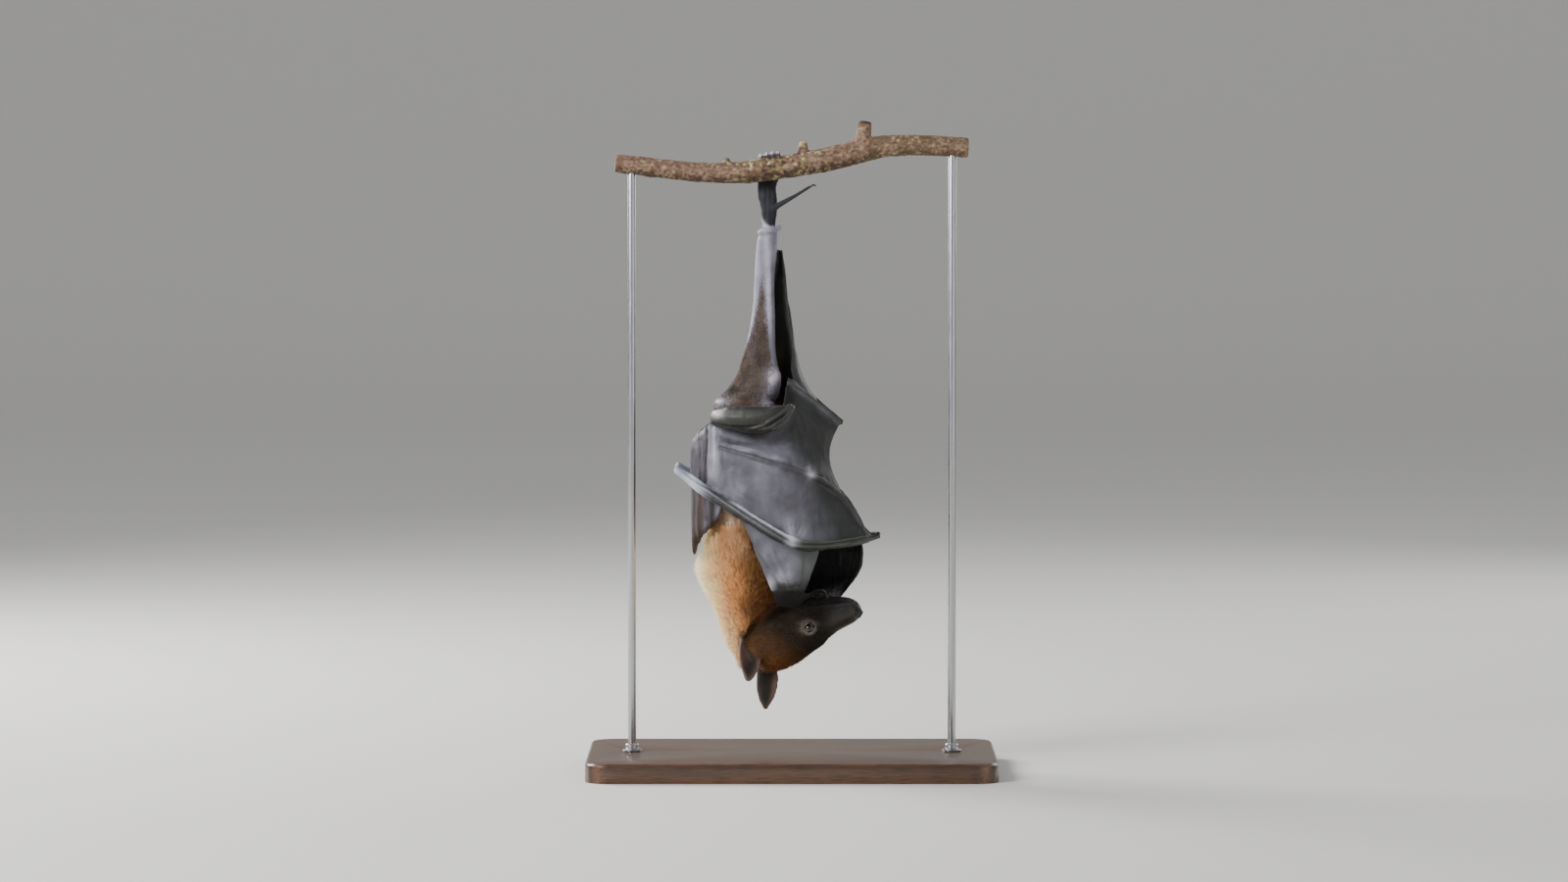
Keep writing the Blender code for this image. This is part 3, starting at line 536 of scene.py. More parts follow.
# Knee: a smooth knob over creased skin, and the fold and hollow over the heel
cone = is_node(labels, "leg_right", "trunk") * ramp(-normals[:, 1], 0.0, 0.5)
rise += 1.6 * bump(np.hypot((x - KNEE[0]) / 3.6, (z - KNEE[1] - 3) / 4.5), 1.0) * cone
rise -= 0.7 * bump(x - KNEE[0] + 5.6, 0.9) * cone * bump(z - KNEE[1], 6.5)
for crease_z in (231.5, 228.6, 225.8):
    wander = 0.8 * np.sin(x / 3.1 + crease_z)
    rise += 0.8 * bump(z - crease_z - wander, 0.8) * cone * bump((x + 11) / 7.5, 1.0)
over_heel, heel_hollow = hip_fold(mm)
rise += (1.3 * over_heel - 0.8 * heel_hollow) * is_node(labels, "leg_right", "trunk")

# Shank and foot: a cuff where the wing skin ends, tendons, and knuckles on the toes
shank = is_node(labels, "leg_right")
foot = is_node(labels, "foot_right")
cuff_low = 329.6 + 0.17 * (x + 19)
cuff_top = height_of(CUFF_TOP, x)
rise += 1.1 * bump(z - cuff_low - 0.9, 1.0) * (shank | foot)
rise -= 0.5 * bump(z - cuff_low + 1.2, 0.9) * shank
rise += 0.7 * bump(z - cuff_top + 0.6, 0.9) * (shank | foot)
rise += 2.4 * bump(z - 332.2, 0.9) * ramp(x, -10.8, -8.6) * (shank | foot) * (np.abs(y) < 3.5)
rise += 0.35 * np.clip(np.sin(x * 2.1), 0, 1) * foot * ramp(z, 338, 342) * (z < 362) * (x < -8.5)
for knuckle_z in (371.0, 376.5):
    rise += 0.45 * bump(z - knuckle_z, 1.0) * foot

# Head: the mouth's line, the nose pad with its groove and two nostrils, the brow and cheek
face = is_node(labels, "head")
mouth_crown = height_of(MOUTH, ahead)
mouth = face * ramp(ahead, 20, 25) * (np.abs(right) > 1.5)
rise -= 0.95 * bump(crown - mouth_crown, 0.65) * mouth
rise += 0.35 * bump(crown - mouth_crown - 1.6, 1.1) * mouth
rise -= 1.0 * ramp(mouth_crown - crown, 0.4, 3.0) * mouth * ramp(ahead, 26, 34)
rise -= 0.9 * bump(right, 0.7) * ramp(ahead, 48.5, 51) * ramp(crown, -5, -2) * face
NOSTRIL_AHEAD, NOSTRIL_CROWN, NOSTRIL_ASIDE = 51.3, 0.6, 3.5
for side in (-1, 1):
    gap = np.sqrt(
        ((ahead - NOSTRIL_AHEAD) / 1.25) ** 2
        + ((crown - NOSTRIL_CROWN) / 0.8) ** 2
        + ((right - side * NOSTRIL_ASIDE) / 1.0) ** 2
    )
    rise += (0.75 * bump(gap - 2.1, 0.8) - 1.7 * bump(gap, 1.25)) * face
rise += 0.9 * bump(np.hypot((ahead - 25) / 6, (crown - 11.5) / 2.2), 1.0) * face * (np.abs(right) > 4)
rise -= 0.5 * bump(np.hypot((ahead - 33) / 5, (crown - 2) / 3.5), 1.0) * face * (np.abs(right) > 5)
for whisker_crown in (-4.6, -2.2, 0.2):
    dots = bump(((ahead * 0.55) % 1.0) - 0.5, 0.22) * bump(crown - whisker_crown, 0.45)
    rise += 0.18 * dots * face * ramp(ahead, 36, 40) * (1 - ramp(ahead, 46, 49))

# Small unevenness everywhere: soft sags in the wings, fine wrinkles where skin is loose
loose = is_node(labels, "wing", "ear", "leg_left", "foot_left")
drift = np.array([
    noise.noise(Vector((a * 0.07, b * 0.05, c * 0.045))) for a, b, c in mm
])
wrinkle = np.array([
    noise.noise(Vector((a * 0.30, b * 0.30, c * 0.11))) for a, b, c in mm
])
rise += (0.75 * drift + 0.28 * wrinkle) * loose
rise += 0.35 * drift * ~loose
points = points + normals * (relaxed(rise, edges, 1, step=0.5) * MM)[:, None]
set_points(skin.data, points)

# Eyelids: a rounded rim round each eye, almond shaped, its outer side sunk in the face
EYE_RADIUS, EYE_PLACE = 4.4, (21.5, 5.6, 9.7)
LID_LONG, LID_HIGH = 3.5, 2.75  # half the opening
LID_ROUND = ((0.90, -0.6), (0.98, 0.1), (1.04, 0.42), (1.14, 0.5), (1.25, 0.3))  # spread, lift
LID_SKIRT = ((1.5, 1.9), (1.8, 0.9), (2.1, -0.6), (1.3, -1.0))  # spread, height over the eye


def eye_axes(side):
    """The eye's middle in mm, the way it looks, and the ways along and across its opening."""
    middle = in_head(EYE_PLACE[0], EYE_PLACE[1], side * EYE_PLACE[2])
    looks = to_right * side * 0.90 + to_crown * 0.22 + to_nose * 0.30
    looks /= np.linalg.norm(looks)
    along = to_nose * 0.96 - to_crown * 0.22
    along -= looks * (along @ looks)
    along /= np.linalg.norm(along)
    return middle, looks, along, np.cross(looks, along)


lid_points, lid_faces = [], []
LID_SIDES = 40
for side in (-1, 1):
    middle, looks, along, across = eye_axes(side)
    first = len(lid_points)
    for i in range(LID_SIDES):
        turn = 2 * math.pi * i / LID_SIDES
        pinch = 1 - 0.22 * abs(math.cos(turn)) ** 3
        for spread, lift in LID_ROUND:
            a = LID_LONG * spread * math.cos(turn)
            b = LID_HIGH * spread * math.sin(turn) * pinch
            high = math.sqrt(max(EYE_RADIUS ** 2 - a * a - b * b, 0.5))
            way = looks * high + along * a + across * b
            way /= np.linalg.norm(way)
            lid_points.append((middle + way * (EYE_RADIUS + lift)) * MM)
        for spread, height in LID_SKIRT:
            a = LID_LONG * spread * math.cos(turn)
            b = LID_HIGH * spread * math.sin(turn)
            lid_points.append((middle + looks * height + along * a + across * b) * MM)
    ring = len(LID_ROUND) + len(LID_SKIRT)
    for i in range(LID_SIDES):
        j = (i + 1) % LID_SIDES
        for k in range(ring):
            m = (k + 1) % ring
            this, near = first + i * ring, first + j * ring
            quad = [this + k, near + k, near + m, this + m]
            lid_faces.append(quad if side < 0 else quad[::-1])
lid_mesh = bpy.data.meshes.new("eyelids")
lid_mesh.from_pydata([Vector(p) for p in lid_points], [], lid_faces)
turn_outwards(lid_mesh)
lids = new_object("eyelids", lid_mesh)
apply_modifier(lids, "SUBSURF", levels=1, render_levels=1)

# Points beyond what the folds need are dropped, and the lids become part of the skin
SKIN_TRIANGLES = 188000
apply_modifier(skin, "TRIANGULATE")
apply_modifier(skin, "DECIMATE", ratio=SKIN_TRIANGLES / len(skin.data.polygons))
select_only(skin, lids)
bpy.ops.object.join()
skin.data.shade_smooth()
skin_points = points_of(skin.data)
skin_normals = normals_of(skin.data)
skin_labels = labelled(skin_points)
skin_edges = edges_of(skin.data)


# Markings, the same for the skin and for the coat that grows on it

def tinted(colour, code, share):
    return colour + (np.array(srgb(code)) - colour) * np.clip(share, 0, 1)[:, None]


def waves(points_mm, size, seed):
    """A soft random pattern of about this size in mm, from -1 to 1."""
    draw = np.random.default_rng(seed)
    total = np.zeros(len(points_mm))
    for _ in range(6):
        way = draw.normal(size=3)
        way *= 2 * math.pi / (size * draw.uniform(0.7, 1.6)) / np.linalg.norm(way)
        total += np.sin(points_mm @ way + draw.uniform(0, 6.3))
    return total / 3.2


EAR_FOOT = {-1: (-11.8, -3.8, 14.5), 1: (-11.8, 2.6, 14.5)}  # left and right
EAR_TIP = {-1: (-20.5, 30.4, 20.5), 1: (-22.5, 36.0, 20.0)}
EAR_OPENS = {-1: (0.75, 0.65), 1: (0.3, 0.9)}
EAR_WIDE = ((0, 5.0), (0.2, 7.2), (0.45, 8.0), (0.7, 6.9), (0.88, 4.2), (1, 1.2))


def ear_line(side):
    """The foot and the tip of an ear."""
    return [in_head(a, c, side * aside) for a, c, aside in (EAR_FOOT[side], EAR_TIP[side])]


def ear_rim(points_mm, side):
    """1 along an ear's two edges, 0 in its middle and away from it."""
    foot, tip = ear_line(side)
    length = np.linalg.norm(tip - foot)
    upright = (tip - foot) / length
    forwards, sideways = EAR_OPENS[side]
    across = np.cross(upright, to_nose * forwards + to_right * side * sideways)
    across /= np.linalg.norm(across)
    away = points_mm - foot
    up = away @ upright / length
    wide = np.interp(up, [row[0] for row in EAR_WIDE], [row[1] for row in EAR_WIDE])
    return bump(np.abs(away @ across) - wide + 0.3, 1.0) * (up > 0) * (np.abs(away @ across) < 10)


def markings(points_mm, labels, normals):
    """Colours of the bat's surface: grey wings, gold mane, dark face."""
    x, y, z = points_mm.T
    ahead, crown, right = head_parts(points_mm)
    flat = points_mm[:, [0, 2]]
    patch = waves(points_mm, 9, 3)
    fine = waves(points_mm, 3.5, 5)
    out = ramp(normals[:, 1] * np.sign(y), -0.35, 0.25)
    colour = np.tile(np.array(srgb("605F69")), (len(points_mm), 1))

    def paint(code, share):
        """This colour over what is there, by its share at each point."""
        colour[:] = tinted(colour, code, share)

    # Wings: lavender-grey, with painted light on the fan above the fourth finger, and painted shade
    # low on the fan and over its side towards the free edge, away from the lamps
    fan = is_node(labels, "wing_left_skin", "wing_right_skin")
    shaded_side = ramp(x + 0.45 * (z - 180), -6, 20)
    paint("4C4B52", fan * ramp(-z, -176, -150) * 0.7)
    paint("7E7D8B", fan * bump(np.hypot((x + 12) / 24, (z - 195) / 8), 1.0) * 0.8)
    paint("75747F", fan * ramp(patch, 0.0, 1.0) * 0.5)
    paint("424147", fan * ramp(-patch, 0.1, 1.0) * 0.5)
    paint("222320", fan * shaded_side * 0.94)
    paint("3A3B38", fan * shaded_side * ramp(fine, 0.3, 1.1) * 0.5)
    # Painted highlights along the fold ridges and the fourth finger
    for line, wide, share in (
        ([(-48, 213), (-48.5, 198), (-48, 184)], 3.4, 0.6),
        ([(-36, 199.5), (-16, 194.5), (11, 184.5)], 1.6, 0.55),
        ([(12, 183), (27, 172)], 1.0, 0.3),
        ([(-3, 240), (13, 228), (30, 213)], 1.2, 0.35),
    ):
        gap, _ = line_distance(flat, line)
        paint("A3A2AE", share * bump(gap, wide) * fan)
    # Painted shade lines under the fourth finger and under the folds below the tucked foot
    for line, wide, share in (
        ([(-44, 200.5), (-16, 192), (12, 181.3)], 1.0, 0.8),
        ([(12, 181.5), (28, 168)], 0.9, 0.6),
        ([(-42, 203), (-30, 203), (-12, 203.5), (0, 212)], 1.6, 0.6),
    ):
        gap, _ = line_distance(flat, line)
        paint("1E1D1E", share * bump(gap, wide) * fan)
    # A wedge of painted shadow on the fan beside the knee
    wedge = ramp(2.0 - x - 0.22 * np.abs(z - 228), -0.6, 0.6)
    wedge *= ramp(z, 222, 224) * ramp(-z, -243, -240)
    paint("0E0E0D", fan * wedge * 0.9)
    paint("0B0B0A", fan * bar_shade(points_mm) * 0.92)
    # A painted highlight along a fold ridge on the fan's left, and a painted shade line beside it
    for code, wide, line in (
        ("B4B6C4", 1.3, [(-46.8, 212), (-47.2, 201), (-46.2, 190)]),
        ("3E3F45", 1.0, [(-44.2, 208), (-44.0, 199), (-42.6, 190)]),
    ):
        gap, place = line_distance(flat, line)
        paint(code, fan * (y < 0) * bump(gap, wide) * bump(2 * place - 1, 1.1) * 0.75)
    gap, _ = line_distance(flat, [(-33, 207.6), (-22, 207.4), (-11, 211.0), (-3, 217.5)])
    paint("55564F", fan * (y < 0) * bump(gap, 0.9) * 0.7)
    slender = is_node(labels, "wing_left_finger_4", "wing_right_finger_4",
                      "wing_left_finger_5", "wing_right_finger_5")
    paint("4A4950", slender * 0.9)
    # Painted shade on the slender fingers towards the free edge, away from the lamps
    paint("30302D", slender * shaded_side * 0.8)
    # Painted highlights: on the fourth finger's joint, in spokes round the third finger's knuckle, and
    # a spike above the joint
    joint = np.hypot((x - 11.7) / 2.6, (z - 184.2) / 2.2)
    paint("D6D6DE", 0.9 * bump(joint, 1.0) * is_node(labels, "wing"))
    knuckle = np.hypot(x + 1, z - 147)
    gather = 0.5 + 0.5 * np.cos(7.0 * np.arctan2(z - 142, x - 1))
    paint("B4B2C0", 0.85 * bump(knuckle, 8) * gather * fan * (z > 143))
    spike = bump(x - 10.4, 0.9) * bump(z - 187, 2.6)
    paint("C4C3D0", 0.7 * spike * fan)

    # The folded band: pale at the elbow's end, in parallel lines, dark past the knuckle, with painted
    # highlights and painted shade
    third = is_node(labels, "wing_left_finger_3", "wing_right_finger_3")
    over = z - height_of(FINGER_3, x)
    past_knuckle, near_elbow = ramp(x, -3, 7), 1 - ramp(x, -60, -46)
    paint("3E3E44", third)
    # Painted highlights down the middle of the lower bone and along the band's top edge; the elbow's
    # end paler, partly a painted highlight
    paint("8F9192", third * bump(over + 0.3, 0.8) * 0.75)
    paint("DCDEEC", third * ramp(over, 2.2, 2.9) * 0.95)
    paint("B3BAC9", third * near_elbow * 0.85)
    # Painted shade in the groove between the bones and over the band's lower half
    paint("0B0B0C", third * bump(over - 1.3, 1.0) * (1 - 0.6 * near_elbow))
    paint("141416", third * ramp(-over, 0.9, 1.9) * (1 - near_elbow) * 0.92)
    # Darker past the knuckle, partly painted shade, with painted highlights on its ridges and a
    # painted highlight on the knuckle
    paint("1F221D", third * past_knuckle * 0.92)
    for ridge in (2.2, -0.9):
        paint("5E6258", third * bump(over - ridge, 0.6) * past_knuckle * 0.7)
    paint("B9B7C2", third * bump(np.hypot((x - 0) / 3.4, (z - 143.5) / 2.6), 1.0) * 0.85)

    # Forearm and hand
    arm = is_node(labels, "wing_left_forearm", "wing_right_forearm")
    paint("6F6E7A", arm * 0.9)
    # Painted light over the forearm's lower part, and painted shade on its side towards the free edge
    paint("A6A5B4", arm * ramp(-z, -128, -117) * ramp(fine + patch, -0.3, 0.8) * 0.7)
    paint("4C4E4C", arm * ramp(x, -2, 6) * 0.85)
    paint("3A3934", arm * ramp(x, -13, -9) * ramp(-z, -120, -115) * 0.85)
    paint("1F1E1B", arm * ramp(x, -12.5, -9) * ramp(-z, -120.5, -116.8) * 0.92)
    gap, _ = line_distance(flat, [(-32.4, 161.5), (-29.8, 155.6), (-11.8, 115.0)])
    paint("45453F", arm * bump(gap, 1.7) * (y < 0) * 0.85)
    # Painted highlights: three spots near the wrist
    for spot_x, spot_z, wide in ((-13.5, 118, 2.8), (-7.2, 122.0, 1.8), (-2.2, 123.4, 2.6)):
        gap = np.hypot((x - spot_x) / wide, (z - spot_z) / (wide * 1.3))
        paint("CFCEDC", arm * bump(gap, 1.0) * 0.75)
    paint("3A393D", arm * ramp(patch, 0.2, 1.2) * 0.4)
    paint("24221F", arm * ramp(-z, -113, -108) * 0.9)
    wrist = is_node(labels, "wing_left_wrist", "wing_right_wrist")
    paint("151210", wrist * 0.98)
    paint("2B2621", wrist * ramp(fine + patch, 0.3, 1.6) * 0.6)
    paint("100D0B", wrist * ramp(x, 8, 13) * 0.9)
    slack = is_node(labels, "wing_left_upper_arm", "wing_right_upper_arm")
    paint("393439", slack)
    paint("524D56", slack * ramp(z, 176, 200) * 0.8)
    bend = x + 0.6 * np.sin(z / 7.0)
    # Streaks from dark brown to lavender grey; the palest is partly a painted highlight
    for streak_x, wide, code in (
        (-61.5, 1.4, "39393B"), (-57, 2.6, "46342D"), (-52.4, 1.5, "5E5663"), (-49.2, 1.6, "201714"),
        (-45.4, 1.4, "767685"),
    ):
        paint(code, slack * bump(bend - streak_x, wide) * ramp(-z, -178, -168) * 0.9)
    pleats = fine + 0.6 * np.sin(x * 1.7)
    paint("807C87", slack * ramp(pleats, 0.3, 1.3) * ramp(z, 170, 185) * 0.5)
    paint("1E1817", slack * ramp(-pleats, 0.2, 1.2) * 0.6)
    web = is_node(labels, "wing_right_leg_web")
    paint("2C2E2A", web * 0.95)
    wing = is_node(labels, "wing")
    # Painted shade: the wing's inward faces near black, and the web's part towards the leg darker
    paint("151414", wing * (1 - out) * (1 - third) * (1 - wrist) * (1 - web) * 0.9)
    paint("0F100E", web * ramp(-x - 0.06 * (250 - z), 0.0, 3.0) * 0.8)
    paint("43372F", web * ramp(-x, 4.5, 6.5) * ramp(-z, -268, -256) * (y > 0) * 0.9)

    # Tucked foot: a dark bar over folds, with painted highlights and painted shadow
    pouch = is_node(labels, "leg_left", "foot_left")
    under_bar = height_of(BAR_FOOT, x) - z
    paint("242421", pouch * 1.0)
    # A painted highlight along the bar's top, and painted shadow under the bar
    paint("42423E", pouch * bump(under_bar + 6.5, 2.2) * 0.75)
    paint("080807", pouch * ramp(under_bar, -1.8, 0.8) * 0.95)
    # Painted highlights on the folds
    for line in POUCH_FOLDS:
        gap, place = line_distance(flat, line)
        paint("50504C", pouch * bump(gap, 0.8) * ramp(place, 0.05, 0.4) * 0.8)
    # A painted highlight on the heel, and painted shade in the dip below it
    nub = np.hypot((x + 45.4) / 1.3, z - 221.6)
    paint("E6DDE4", pouch * bump(nub, 2.4))
    paint("15110F", pouch * bump(np.hypot((x + 45.5) / 1.6, z - 216.0), 1.8) * 0.95)

    # The foot that holds the branch: dark grey palm, pale toes
    foot = is_node(labels, "foot_right")
    cuff_top = height_of(CUFF_TOP, x)
    paint("232429", foot * 1.0)
    paint("3F404B", foot * ramp(fine, 0.1, 1.0) * 0.5)
    paint("B8B0BB", foot * ramp(z, 367, 371) * 0.95)
    paint("2A2A2E", foot * ramp(x, -8, -2) * (z < 364) * 0.9)
    paint("A9A7B8", foot * ramp(cuff_top - z, -0.4, 0.4))

    # Leg: grey-brown fur with a pale bare fold down its near side
    leg = is_node(labels, "leg_right")
    trunk = is_node(labels, "trunk")
    streaky = waves(points_mm * (1.0, 1.0, 0.3), 4.5, 8)
    paint("61534B", leg * 1.0)
    paint("6B6069", leg * ramp(patch, 0.0, 0.9) * 0.7)
    paint("84766B", leg * ramp(fine + streaky, 0.2, 1.6) * 0.6)
    paint("2F2620", leg * ramp(-streaky - 0.5 * fine, 0.3, 1.3) * 0.6)

    # Body: dark seal brown, grey-brown at the hips and warmer towards the shoulders
    paint("40281A", trunk * 1.0)
    paint("5C4C43", trunk * ramp(z, 196, 212))
    paint("9A6A42", trunk * ramp(-z, -176, -158) * (1 - ramp(x, -24, -8)) * 0.95)
    gap, _ = line_distance(flat, [(-41, 164), (-37, 150), (-31, 134)])
    arch = bump(gap, 6.0)
    # The curly fur column under the band, paler: partly its colour and partly painted light against
    # the band's shadow
    paint("FFDFC2", trunk * arch * ramp(-z, -172, -164) * 0.92)
    smooth_leg = bare_leg(points_mm)
    paint("9390A0", (leg | trunk) * smooth_leg * 0.95)
    shin = bump(x + 15 - 0.045 * (300 - z), 1.6) * ramp(z, 262, 280)
    paint("9A99A8", leg * smooth_leg * shin * 0.8)
    for code, line in (
        ("55555F", [(-19.0, 331), (-18.6, 318), (-17.6, 297)]),
        ("C9C8D6", [(-15.2, 327), (-14.1, 300), (-13.0, 275)]),
        ("6E6D78", [(-12.2, 324), (-11.8, 300), (-11.6, 278)]),
    ):
        gap, place = line_distance(flat, line)
        streak = bump(gap, 0.8) * bump(2 * place - 1, 1.0)
        paint(code, leg * (y < 0) * smooth_leg * streak * 0.8)
    paint("44424F", (leg | foot) * bump(z - 328.4 - 0.17 * (x + 19), 0.6) * 0.75)
    pit = bump(np.hypot((x + 18) / 0.8, (z - 333.4) / 2.4), 1.0)
    paint("4E506A", (leg | foot) * pit * 0.8)
    paint("5C525A", (leg | trunk) * smooth_leg * ramp(-z, -235, -231) * (y < 3) * 0.85)
    # The knee pale, partly its bare skin and partly a painted highlight
    paint("B4AAB8", (leg | trunk) * smooth_leg * bump(z - 240, 7) * (y < 3) * 0.9)
    over_heel, heel_hollow = hip_fold(points_mm)
    paint("8F8A96", (leg | trunk) * np.clip(over_heel * 1.4, 0, 1) * 0.9)
    # Painted shade in the hollow above the heel
    paint("17100D", (leg | trunk) * np.clip(heel_hollow * 1.3, 0, 1) * 0.9)

    # Mane: cream at its rim over the back, gold and russet inside, brown under the wing
    neck = is_node(labels, "neck")
    inward = x + 61 + 0.42 * (z - 126) * (z < 126) + 1.8 * fine + 2.5 * patch
    inward += 5 * ramp(-z, -112, -96)
    paint("FFE8BE", neck * 1.0)
    paint("FACB92", neck * ramp(inward, 4, 12))
    paint("E2A267", neck * ramp(inward, 13, 22))
    paint("8F6232", neck * ramp(inward, 22, 33))
    paint("6A4520", neck * ramp(inward, 31, 44))
    # The same column paler in the mane, partly painted light
    paint("E8B892", neck * arch * ramp(fine, -1.0, 0.8) * 0.8)
    paint("B0743F", neck * ramp(z, 140, 146) * (1 - ramp(x, -50, -45)) * 0.6)
    paint("6E3C1C", neck * ramp(-z, -119, -104) * ramp(x, -34, -17) * 0.85)
    paint("3A2412", neck * ramp(x, -18, -6) * 0.85)
    paint("8C5A2C", neck * ramp(-patch - fine, 0.5, 1.6) * 0.4)

    for side in (-1, 1):
        foot_of_ear, tip_of_ear = ear_line(side)
        gap, _ = line_distance(points_mm, [foot_of_ear, tip_of_ear])
        facing_ear = normals @ (tip_of_ear - foot_of_ear) > -20
        paint("3A2412", neck * (1 - ramp(gap, 6.5, 9.5)) * facing_ear)

    # Head: dark russet crown and cheek, near black round the eye, bare grey muzzle
    head = is_node(labels, "head")
    paint("5A391D", head * 1.0)
    paint("9A6434", head * ramp(-ahead, 9, 17) * 0.85)
    paint("7A4A1E", head * ramp(crown, 13, 19) * ramp(-ahead, -16, 0) * 0.7)
    dark = ramp(ahead - 0.75 * crown + 0.2 * np.abs(right) + 1.5 * patch, -10, 8)
    paint("241C13", head * dark * 0.95)
    paint("221E19", head * ramp(ahead, 12, 24))
    paint("2B2723", head * ramp(ahead, 26, 36))
    paint("3E3B3C", head * ramp(ahead, 34, 46) * ramp(-crown, 0, 6) * 0.6)
    mouth_crown = height_of(MOUTH, ahead)
    paint("0E0B0C", head * bump(crown - mouth_crown, 0.7) * ramp(ahead, 21, 26))
    paint("1F1B1B", head * ramp(ahead, 50, 53))
    for side in (-1, 1):
        gap = np.linalg.norm(
            points_mm - in_head(NOSTRIL_AHEAD, NOSTRIL_CROWN, side * NOSTRIL_ASIDE), axis=1
        )
        paint("060404", head * bump(gap, 1.3))
        eye_middle, looks, _, _ = eye_axes(side)
        away = points_mm - eye_middle
        facing = (away @ looks) / np.maximum(np.linalg.norm(away, axis=1), 0.01)
        gap = np.linalg.norm(away, axis=1)
        lid = ramp(gap, 4.2, 4.6) * (1 - ramp(gap, 5.2, 6.4)) * ramp(facing, 0.3, 0.55)
        # The lid's rim pale, partly its colour and partly a painted highlight
        paint("857E72", head * lid * (0.6 + 0.35 * fine))

    # Ears: dark leather, paler along the rim
    ear = is_node(labels, "ear")
    paint("2C2722", ear * 1.0)
    paint("443C37", ear * ramp(fine, 0.2, 1.0) * 0.6)
    # Painted shade: the far ear darker than the near one
    paint("1B1912", is_node(labels, "ear_right") * 0.75)
    for side in (-1, 1):
        paint("7A6258", ear * ear_rim(points_mm, side) * 0.75)
    return colour


def set_colours(mesh, name, colours):
    """Stores a colour for each point; the fourth value carries nothing."""
    layer = mesh.color_attributes.new(name, "FLOAT_COLOR", "POINT")
    layer.data.foreach_set("color", np.column_stack((colours, np.ones(len(colours)))).ravel())


skin_colour = relaxed(markings(skin_points * 1000, skin_labels, skin_normals), skin_edges, 2)
set_colours(skin.data, "marking", skin_colour)
skin_mm = skin_points * 1000
ahead, _, _ = head_parts(skin_mm)
furred = is_node(skin_labels, "neck", "trunk", "head", "leg_right").astype(float)
furred *= 1 - is_node(skin_labels, "head") * ramp(ahead, 26, 38)
bare = bare_leg(skin_mm) + np.clip(hip_fold(skin_mm)[0] * 1.4, 0, 1)
furred *= 1 - is_node(skin_labels, "leg_right", "trunk") * np.clip(bare, 0, 1)
for words, share in (
    (("wing_left_wrist", "wing_right_wrist"), 0.85), (("ear_right",), 0.8), (("ear_left",), 0.35),
    (("foot_right",), 0.5),
):
    furred = np.maximum(furred, share * is_node(skin_labels, *words))
furred = np.maximum(furred, 0.95 * bar_shade(skin_mm) * is_node(skin_labels, "wing_right_skin"))
furred = relaxed(furred, skin_edges, 2)
layer = skin.data.attributes.new("furred", "FLOAT", "POINT")
layer.data.foreach_set("value", furred)

def fine_noise(tree, spot, scale, detail):
    """A noise pattern, this many to a metre."""
    return add_node(tree, "ShaderNodeTexNoise", {"Vector": spot, "Scale": scale, "Detail": detail})


def spread(tree, value, low, high, to_low, to_high):
    """A value between low and high, spread over another range."""
    return add_node(tree, "ShaderNodeMapRange", {
        "Value": value, "From Min": low, "From Max": high, "To Min": to_low, "To Max": to_high,
    }).outputs[0]


def times(tree, colour, by):
    made = add_node(tree, "ShaderNodeVectorMath", {0: colour, 1: by}, operation="MULTIPLY")
    return made.outputs[0]


def times_plus(tree, value, by, plus):
    made = add_node(tree, "ShaderNodeMath", {0: value, 1: by, 2: plus}, operation="MULTIPLY_ADD")
    return made.outputs[0]


def relief_of(tree, height, strength, depth):
    """The surface's direction where a height pattern of this depth in metres lies on it."""
    return add_node(tree, "ShaderNodeBump", {
        "Strength": strength, "Distance": depth, "Height": height,
    }).outputs[0]


# Bat hide: supple, finely wrinkled leather with a satin gloss where bare, matt where short fur
# covers it; the creases are 0.6 mm apart and the short hairs 0.3 mm, coarser than real hair
hide, tree, shader = new_material("bat_hide")
spot = add_node(tree, "ShaderNodeTexCoord").outputs["Object"]
marking = add_node(tree, "ShaderNodeAttribute", attribute_name="marking").outputs["Color"]
fur_share = add_node(tree, "ShaderNodeAttribute", attribute_name="furred").outputs["Fac"]
stretch = add_node(tree, "ShaderNodeMapping", {"Vector": spot, "Scale": (1.0, 1.0, 0.28)}).outputs[0]
grain = fine_noise(tree, spot, 420.0, 4.0).outputs["Fac"]
wide_grain = fine_noise(tree, spot, 90.0, 3.0).outputs["Fac"]
hairs = fine_noise(tree, stretch, 1500.0, 2.0).outputs["Fac"]
creases = fine_noise(tree, stretch, 900.0, 3.0).outputs["Fac"]
leather = times_plus(tree, creases, 0.6, grain)
height = add_node(tree, "ShaderNodeMix", {"Factor": fur_share, "A": leather, "B": hairs}).outputs[0]
set_inputs(tree, shader, {
    "Base Color": times(tree, marking, spread(tree, wide_grain, 0.3, 0.7, 0.72, 1.28)),
    "Normal": relief_of(tree, height, 0.35, 0.0004),
    "Roughness": times_plus(tree, wide_grain, 0.18, times_plus(tree, fur_share, 0.38, 0.40)),
    "Specular IOR Level": times_plus(tree, fur_share, -0.4, 0.5),
    "IOR": 1.45,
    "Sheen Weight": 0.05,
    "Sheen Roughness": 0.45,
    "Sheen Tint": (*srgb("B9B9D2"), 1),
})
skin.data.materials.clear()
skin.data.materials.append(hide)
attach(skin, "root")
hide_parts(*FLESH)


# ---- Eyes: two moist balls with a domed front, dark brown round a wide pupil, held in the lids

